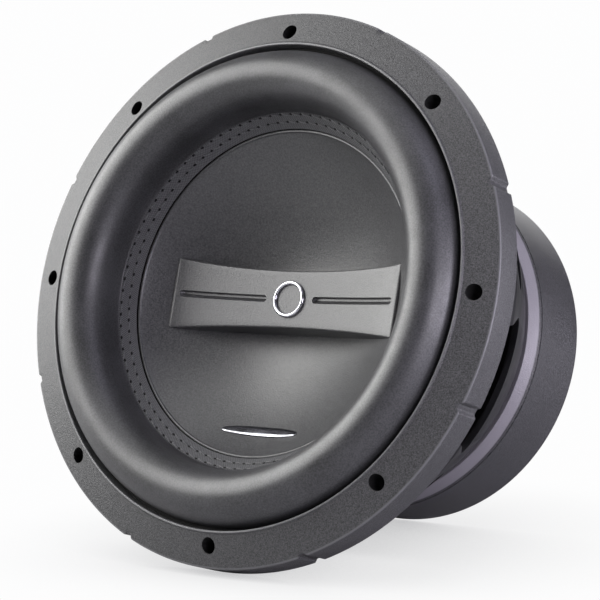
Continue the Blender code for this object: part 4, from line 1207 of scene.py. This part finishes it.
def make_leads():
    """Braided leads, round tubes that bend between the lugs and the coil former."""
    for end, pole, angle, side in TERMINALS:
        bm = bmesh.new()
        tube(bm, lead_path(angle, side), LEAD_R - 0.1 * MM, 10)
        lead = make_piece(finished_mesh(f"lead_braid_{end}_{pole}", bm), "tinsel_braid")
        settle_flexible(lead, f"tinsel_lead_{end}_{pole}")


def make_springs():
    """Button return springs: wire coils in the terminal pockets."""
    count = SPRING_TURNS * 20
    for end, pole, angle, side in TERMINALS:
        place = block_place(angle)
        path = []
        for index in range(count + 1):
            turn = 2.0 * pi * SPRING_TURNS * index / count
            height = SPRING_LOW + (SPRING_HIGH - SPRING_LOW) * index / count
            across = Vector((SPRING_R * cos(turn), SPRING_R * sin(turn), height))
            path.append(place @ (across + Vector((side * POCKET_X, SPRING_Y, 0.0))))
        bm = bmesh.new()
        tube(bm, path, SPRING_WIRE_R, 8)
        spring = make_piece(finished_mesh(f"button_spring_{end}_{pole}", bm), "spring_steel")
        settle(spring, 60.0, "frame", f"terminal_spring_{end}_{pole}")
        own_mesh(spring)


def dress_cad_nodes():
    """Gives every carried-over CAD node its procedural finish."""
    slots = {row["node"]: row["material_slot"] for row in frame["record"]["subparts"]}
    for node, obj in frame["nodes"].items():
        if obj.hide_render:
            continue
        obj.data.materials.clear()
        obj.data.materials.append(FINISHES[slots[node]])


# ---------------------------------------------------------------- stage

FLOOR_TILT = degrees(atan2(TRIM_R - BOOT_R, REAR_DEPTH - SEAT_DEPTH))


def show_camera_another(tree, lit, seen, output):
    """Lets one shader light the scene while the camera sees the other."""
    path = tree.nodes.new("ShaderNodeLightPath")
    mix = tree.nodes.new("ShaderNodeMixShader")
    for source, target in ((path.outputs["Is Camera Ray"], mix.inputs["Fac"]),
                           (lit.outputs[0], mix.inputs[1]), (seen.outputs[0], mix.inputs[2]),
                           (mix.outputs[0], tree.nodes[output].inputs["Surface"])):
        tree.links.new(source, target)


def floor_finish():
    """Pale to the camera with a soft contact shadow, and a mid grey to the light it bounces."""
    f = Finish("floor_pale")
    near = f.node("ShaderNodeAmbientOcclusion", samples=12)
    near.inputs["Distance"].default_value = 0.16
    open_sky = f.spread(near.outputs["AO"], 0.0, 0.9)
    shade_of = f.mix(f.math("POWER", open_sky, 0.5), (0.50, 0.50, 0.51), (0.985, 0.985, 0.988))
    seen = f.node("ShaderNodeEmission")
    f.link(shade_of, seen.inputs["Color"])
    bounce = f.node("ShaderNodeBsdfDiffuse")
    bounce.inputs["Color"].default_value = (0.48, 0.48, 0.49, 1.0)
    show_camera_another(f.tree, bounce, seen, "Material Output")
    return f.material


def make_floor():
    """A pale floor under the speaker as it rests on its trim ring and its motor."""
    bm = bmesh.new()
    bmesh.ops.create_grid(bm, x_segments=1, y_segments=1, size=6.0)
    mesh = bpy.data.meshes.new("floor")
    bm.to_mesh(mesh)
    bm.free()
    mesh.materials.append(floor_finish())
    floor = new_object("floor", mesh)
    floor.matrix_world = (Matrix.Translation((0.0, y_of(SEAT_DEPTH), -TRIM_R))
                          @ Matrix.Rotation(radians(FLOOR_TILT), 4, "X"))


# The camera's place beside the hole plane, its Euler angles in degrees, and its lens in mm.
CAMERA_PLACE = Vector((0.8095, -1.0442, -0.2144))
CAMERA_TURN = (99.137, -8.694, 35.111)
CAMERA_LENS = 143.85


def make_camera():
    camera = new_object("camera", bpy.data.cameras.new("camera"))
    camera.location = CAMERA_PLACE + Vector((0.0, HOLE_PLANE_Y, 0.0))
    camera.rotation_euler = Euler([radians(a) for a in CAMERA_TURN], "XYZ")
    camera.data.lens = CAMERA_LENS
    camera.data.sensor_width = 36.0
    bpy.context.scene.camera = camera


# Each light: name, azimuth and elevation it shines from, size, power, colour.
LIGHTS = (
    ("key_left", -54.0, 21.0, 1.15, 22.5, (1.0, 1.0, 0.98)),
    ("key_front", -30.0, 15.0, 0.7, 3.0, (1.0, 0.98, 1.0)),
    ("side_left", -80.0, 12.0, 0.8, 7.5, (1.0, 1.0, 1.0)),
    ("high_front", -10.0, 55.0, 0.9, 3.5, (1.0, 1.0, 1.0)),
    ("cool_high_right", 65.0, 50.0, 0.7, 2.5, (0.82, 0.80, 1.0)),
    ("cool_right", 98.0, 3.0, 0.7, 16.0, (0.90, 0.86, 1.0)),
    ("low_right", 64.0, 3.0, 0.5, 7.5, (0.92, 0.88, 1.0)),
    ("back_right", 125.0, 5.0, 0.7, 5.5, (0.92, 0.90, 1.0)),
    ("high_back", 205.0, 36.0, 0.9, 4.2, (1.0, 1.0, 1.0)),
    ("overhead", 0.0, 85.0, 0.7, 1.0, (1.0, 1.0, 1.0)),
)
LIGHT_DISTANCE = 1.3
WORLD_STRENGTH = 0.06


def make_lights():
    middle = Vector((0.0, y_of(0.050), 0.0))
    for name, azimuth, elevation, size, power, color in LIGHTS:
        data = bpy.data.lights.new(name, "AREA")
        data.shape = "SQUARE"
        data.size = size
        data.energy = power
        data.color = color
        light = new_object(name, data)
        light.visible_camera = False
        a, e = radians(azimuth), radians(elevation)
        back = Vector((sin(a) * cos(e), -cos(a) * cos(e), sin(e)))
        light.location = middle + back * LIGHT_DISTANCE
        light.rotation_euler = back.to_track_quat("Z", "Y").to_euler()


def make_world():
    """Plain white to the camera, and softer white to everything it lights."""
    world = bpy.data.worlds.new("studio")
    bpy.context.scene.world = world
    world.use_nodes = True
    tree = world.node_tree
    fill = tree.nodes["Background"]
    fill.inputs["Color"].default_value = (0.95, 0.96, 1.0, 1.0)
    fill.inputs["Strength"].default_value = WORLD_STRENGTH
    seen = tree.nodes.new("ShaderNodeBackground")
    seen.inputs["Color"].default_value = (0.985, 0.985, 0.988, 1.0)
    show_camera_another(tree, fill, seen, "World Output")
    bpy.context.scene.view_settings.view_transform = "Standard"


# ---------------------------------------------------------------- build

make_trim_ring()
make_basket()
make_surround()
make_skirt_band()
make_stitches()
make_cone()
make_dust_cap()
make_badge()
make_nameplate()
make_spider()
for piece_name, node_name, finish_name, body_name in (
    ("former_sleeve", "voice_coil_former", "former_film", "diaphragm"),
    ("coil_winding_inner", "voice_coil_inner", "copper_wire", "diaphragm"),
    ("coil_winding_outer", "voice_coil_outer", "copper_wire", "diaphragm"),
    ("spider_clamp_ring", "spider_ring", "fibre_board", "frame"),
    ("magnet_disc_front", "magnet_front", "ferrite", "frame"),
    ("magnet_disc_rear", "magnet_rear", "ferrite", "frame"),
):
    make_tube_piece(piece_name, node_name, finish_name, body_name)
make_yoke()
make_boot()
make_vent_screen()
make_leads()
make_springs()
dress_cad_nodes()

make_floor()
make_camera()
make_lights()
make_world()
